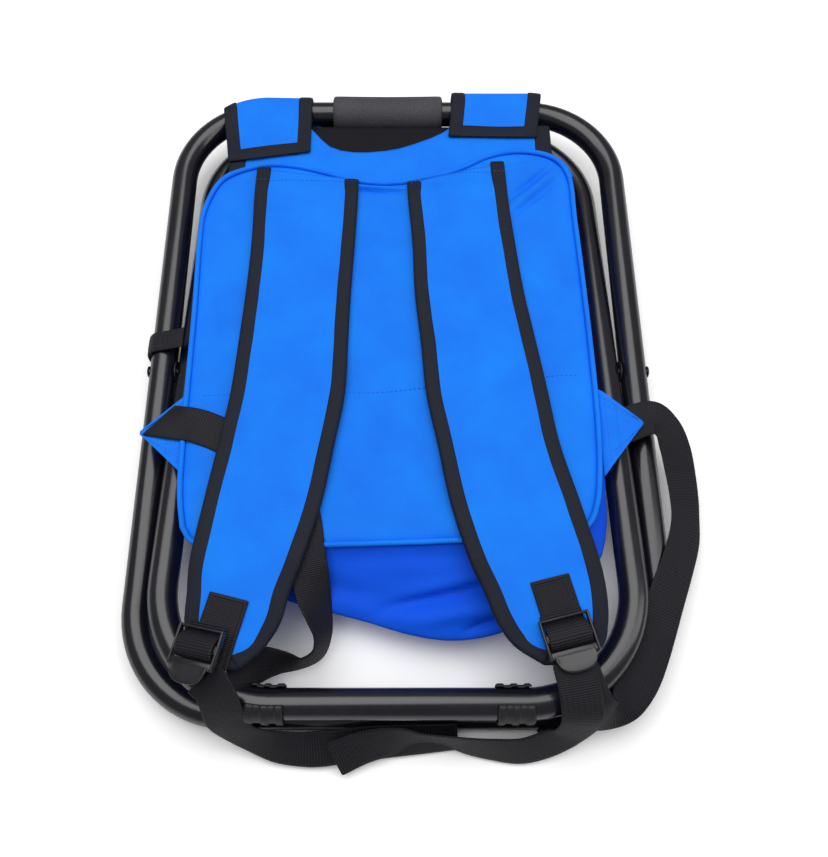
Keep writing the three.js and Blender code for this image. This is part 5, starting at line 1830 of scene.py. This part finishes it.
@dataclass
class Studio:
    """Camera, soft lamps, pale surroundings and the floor."""

    image_width: float = 828.0
    image_height: float = 857.0
    focal_pixels: float = 800.0
    axis_pixel: float = 398.1
    place: Triple = (0.0, -0.2671, 0.5416)
    pitch: float = 66.76
    sensor: float = 36.0
    ambient: float = 0.4
    glossy: float = 0.2
    floor_shade: float = 0.8
    floor_white: float = 1.18
    floor_gap: float = 0.0005

    def camera(self) -> None:
        """The camera at the photograph's viewing angle."""
        data = bpy.data.cameras.new("view")
        data.sensor_width = self.sensor
        data.lens = self.sensor * self.focal_pixels / self.image_height
        data.shift_x = (self.image_width / 2 - self.axis_pixel) / self.image_height
        data.clip_start, data.clip_end = 0.01, 50.0
        camera = linked("view", data)
        camera.location = self.place
        camera.rotation_euler = (math.radians(90 - self.pitch), 0, 0)
        bpy.context.scene.camera = camera

    def lamp(self, name: str, spot: Triple, size: tuple[float, float], power: float) -> None:
        """A soft rectangular lamp that points at the stool.

        Args:
            name: the lamp's name.
            spot: where it hangs.
            size: its two sides.
            power: its power in watts.
        """
        data = bpy.data.lights.new(name, "AREA")
        data.shape, data.size, data.size_y, data.energy = "RECTANGLE", *size, power
        lamp = linked(name, data)
        lamp.location = spot
        lamp.rotation_euler = (-Vector(spot)).to_track_quat("-Z", "Y").to_euler()

    @staticmethod
    def seen(nodes: Nodes, path: bpy.types.Node) -> Socket:
        """Whether a ray comes from the camera or through a clear material."""
        return nodes.math("MAXIMUM", path.outputs["Is Camera Ray"], path.outputs["Is Transmission Ray"])

    def surroundings(self) -> None:
        """A white world for the camera and for reflections, dimmer where it lights the object."""
        world = bpy.data.worlds.new("pale_room")
        world.use_nodes = True
        nodes = Nodes(world.node_tree)
        path = nodes.add("LightPath")
        strength = self.seen(nodes, path)
        for ray, power in (("Is Glossy Ray", self.glossy), ("Is Diffuse Ray", self.ambient)):
            strength = nodes.math("MAXIMUM", strength, nodes.math("MULTIPLY", path.outputs[ray], power))
        background = world.node_tree.nodes["Background"]
        background.inputs[0].default_value = (1, 1, 1, 1)
        world.node_tree.links.new(strength, background.inputs[1])
        bpy.context.scene.world = world

    def floor(self) -> None:
        """A matt white floor that keeps the stool's shadow."""
        data = bpy.data.materials.new("pale_floor")
        data.use_nodes = True
        nodes = Nodes(data.node_tree)
        shader = data.node_tree.nodes["Principled BSDF"]
        shader.inputs["Roughness"].default_value = 0.9
        shader.inputs["Specular IOR Level"].default_value = 0.0
        seen = self.seen(nodes, nodes.add("LightPath"))
        shade = nodes.add("MapRange", {0: seen, 3: self.floor_shade, 4: self.floor_white}).outputs[0]
        data.node_tree.links.new(shade, shader.inputs["Base Color"])
        shape = bmesh.new()
        bmesh.ops.create_grid(shape, x_segments=2, y_segments=2, size=4.0)
        mesh = bpy.data.meshes.new("floor")
        shape.to_mesh(mesh)
        shape.free()
        mesh.materials.append(data)
        floor = linked("floor", mesh)
        floor.location.z = -self.floor_gap

    def build(self) -> None:
        """Sets up everything round the stool."""
        bpy.context.scene.view_settings.view_transform = "Standard"
        self.camera()
        self.surroundings()
        self.floor()
        self.lamp("key", (-0.2, 0.3, 1.5), (1.7, 1.3), 17.5)
        self.lamp("fill", (1.1, -0.1, 1.1), (0.5, 1.4), 4.5)


def main() -> None:
    """Builds the stool in order and reports each sub-assembly."""
    logging.basicConfig(level=logging.INFO, format="%(message)s")
    for name, part in (("studio", Studio()), ("frame", FrameParts()), ("flaps", Flaps()),
                       ("back panel", Panel()), ("yoke", Yoke()), ("bag", Bag()), ("seat", Seat()),
                       ("harness", Harness())):
        part.build()
        log.info("built the %s", name)

if __name__ == "__main__":
    main()
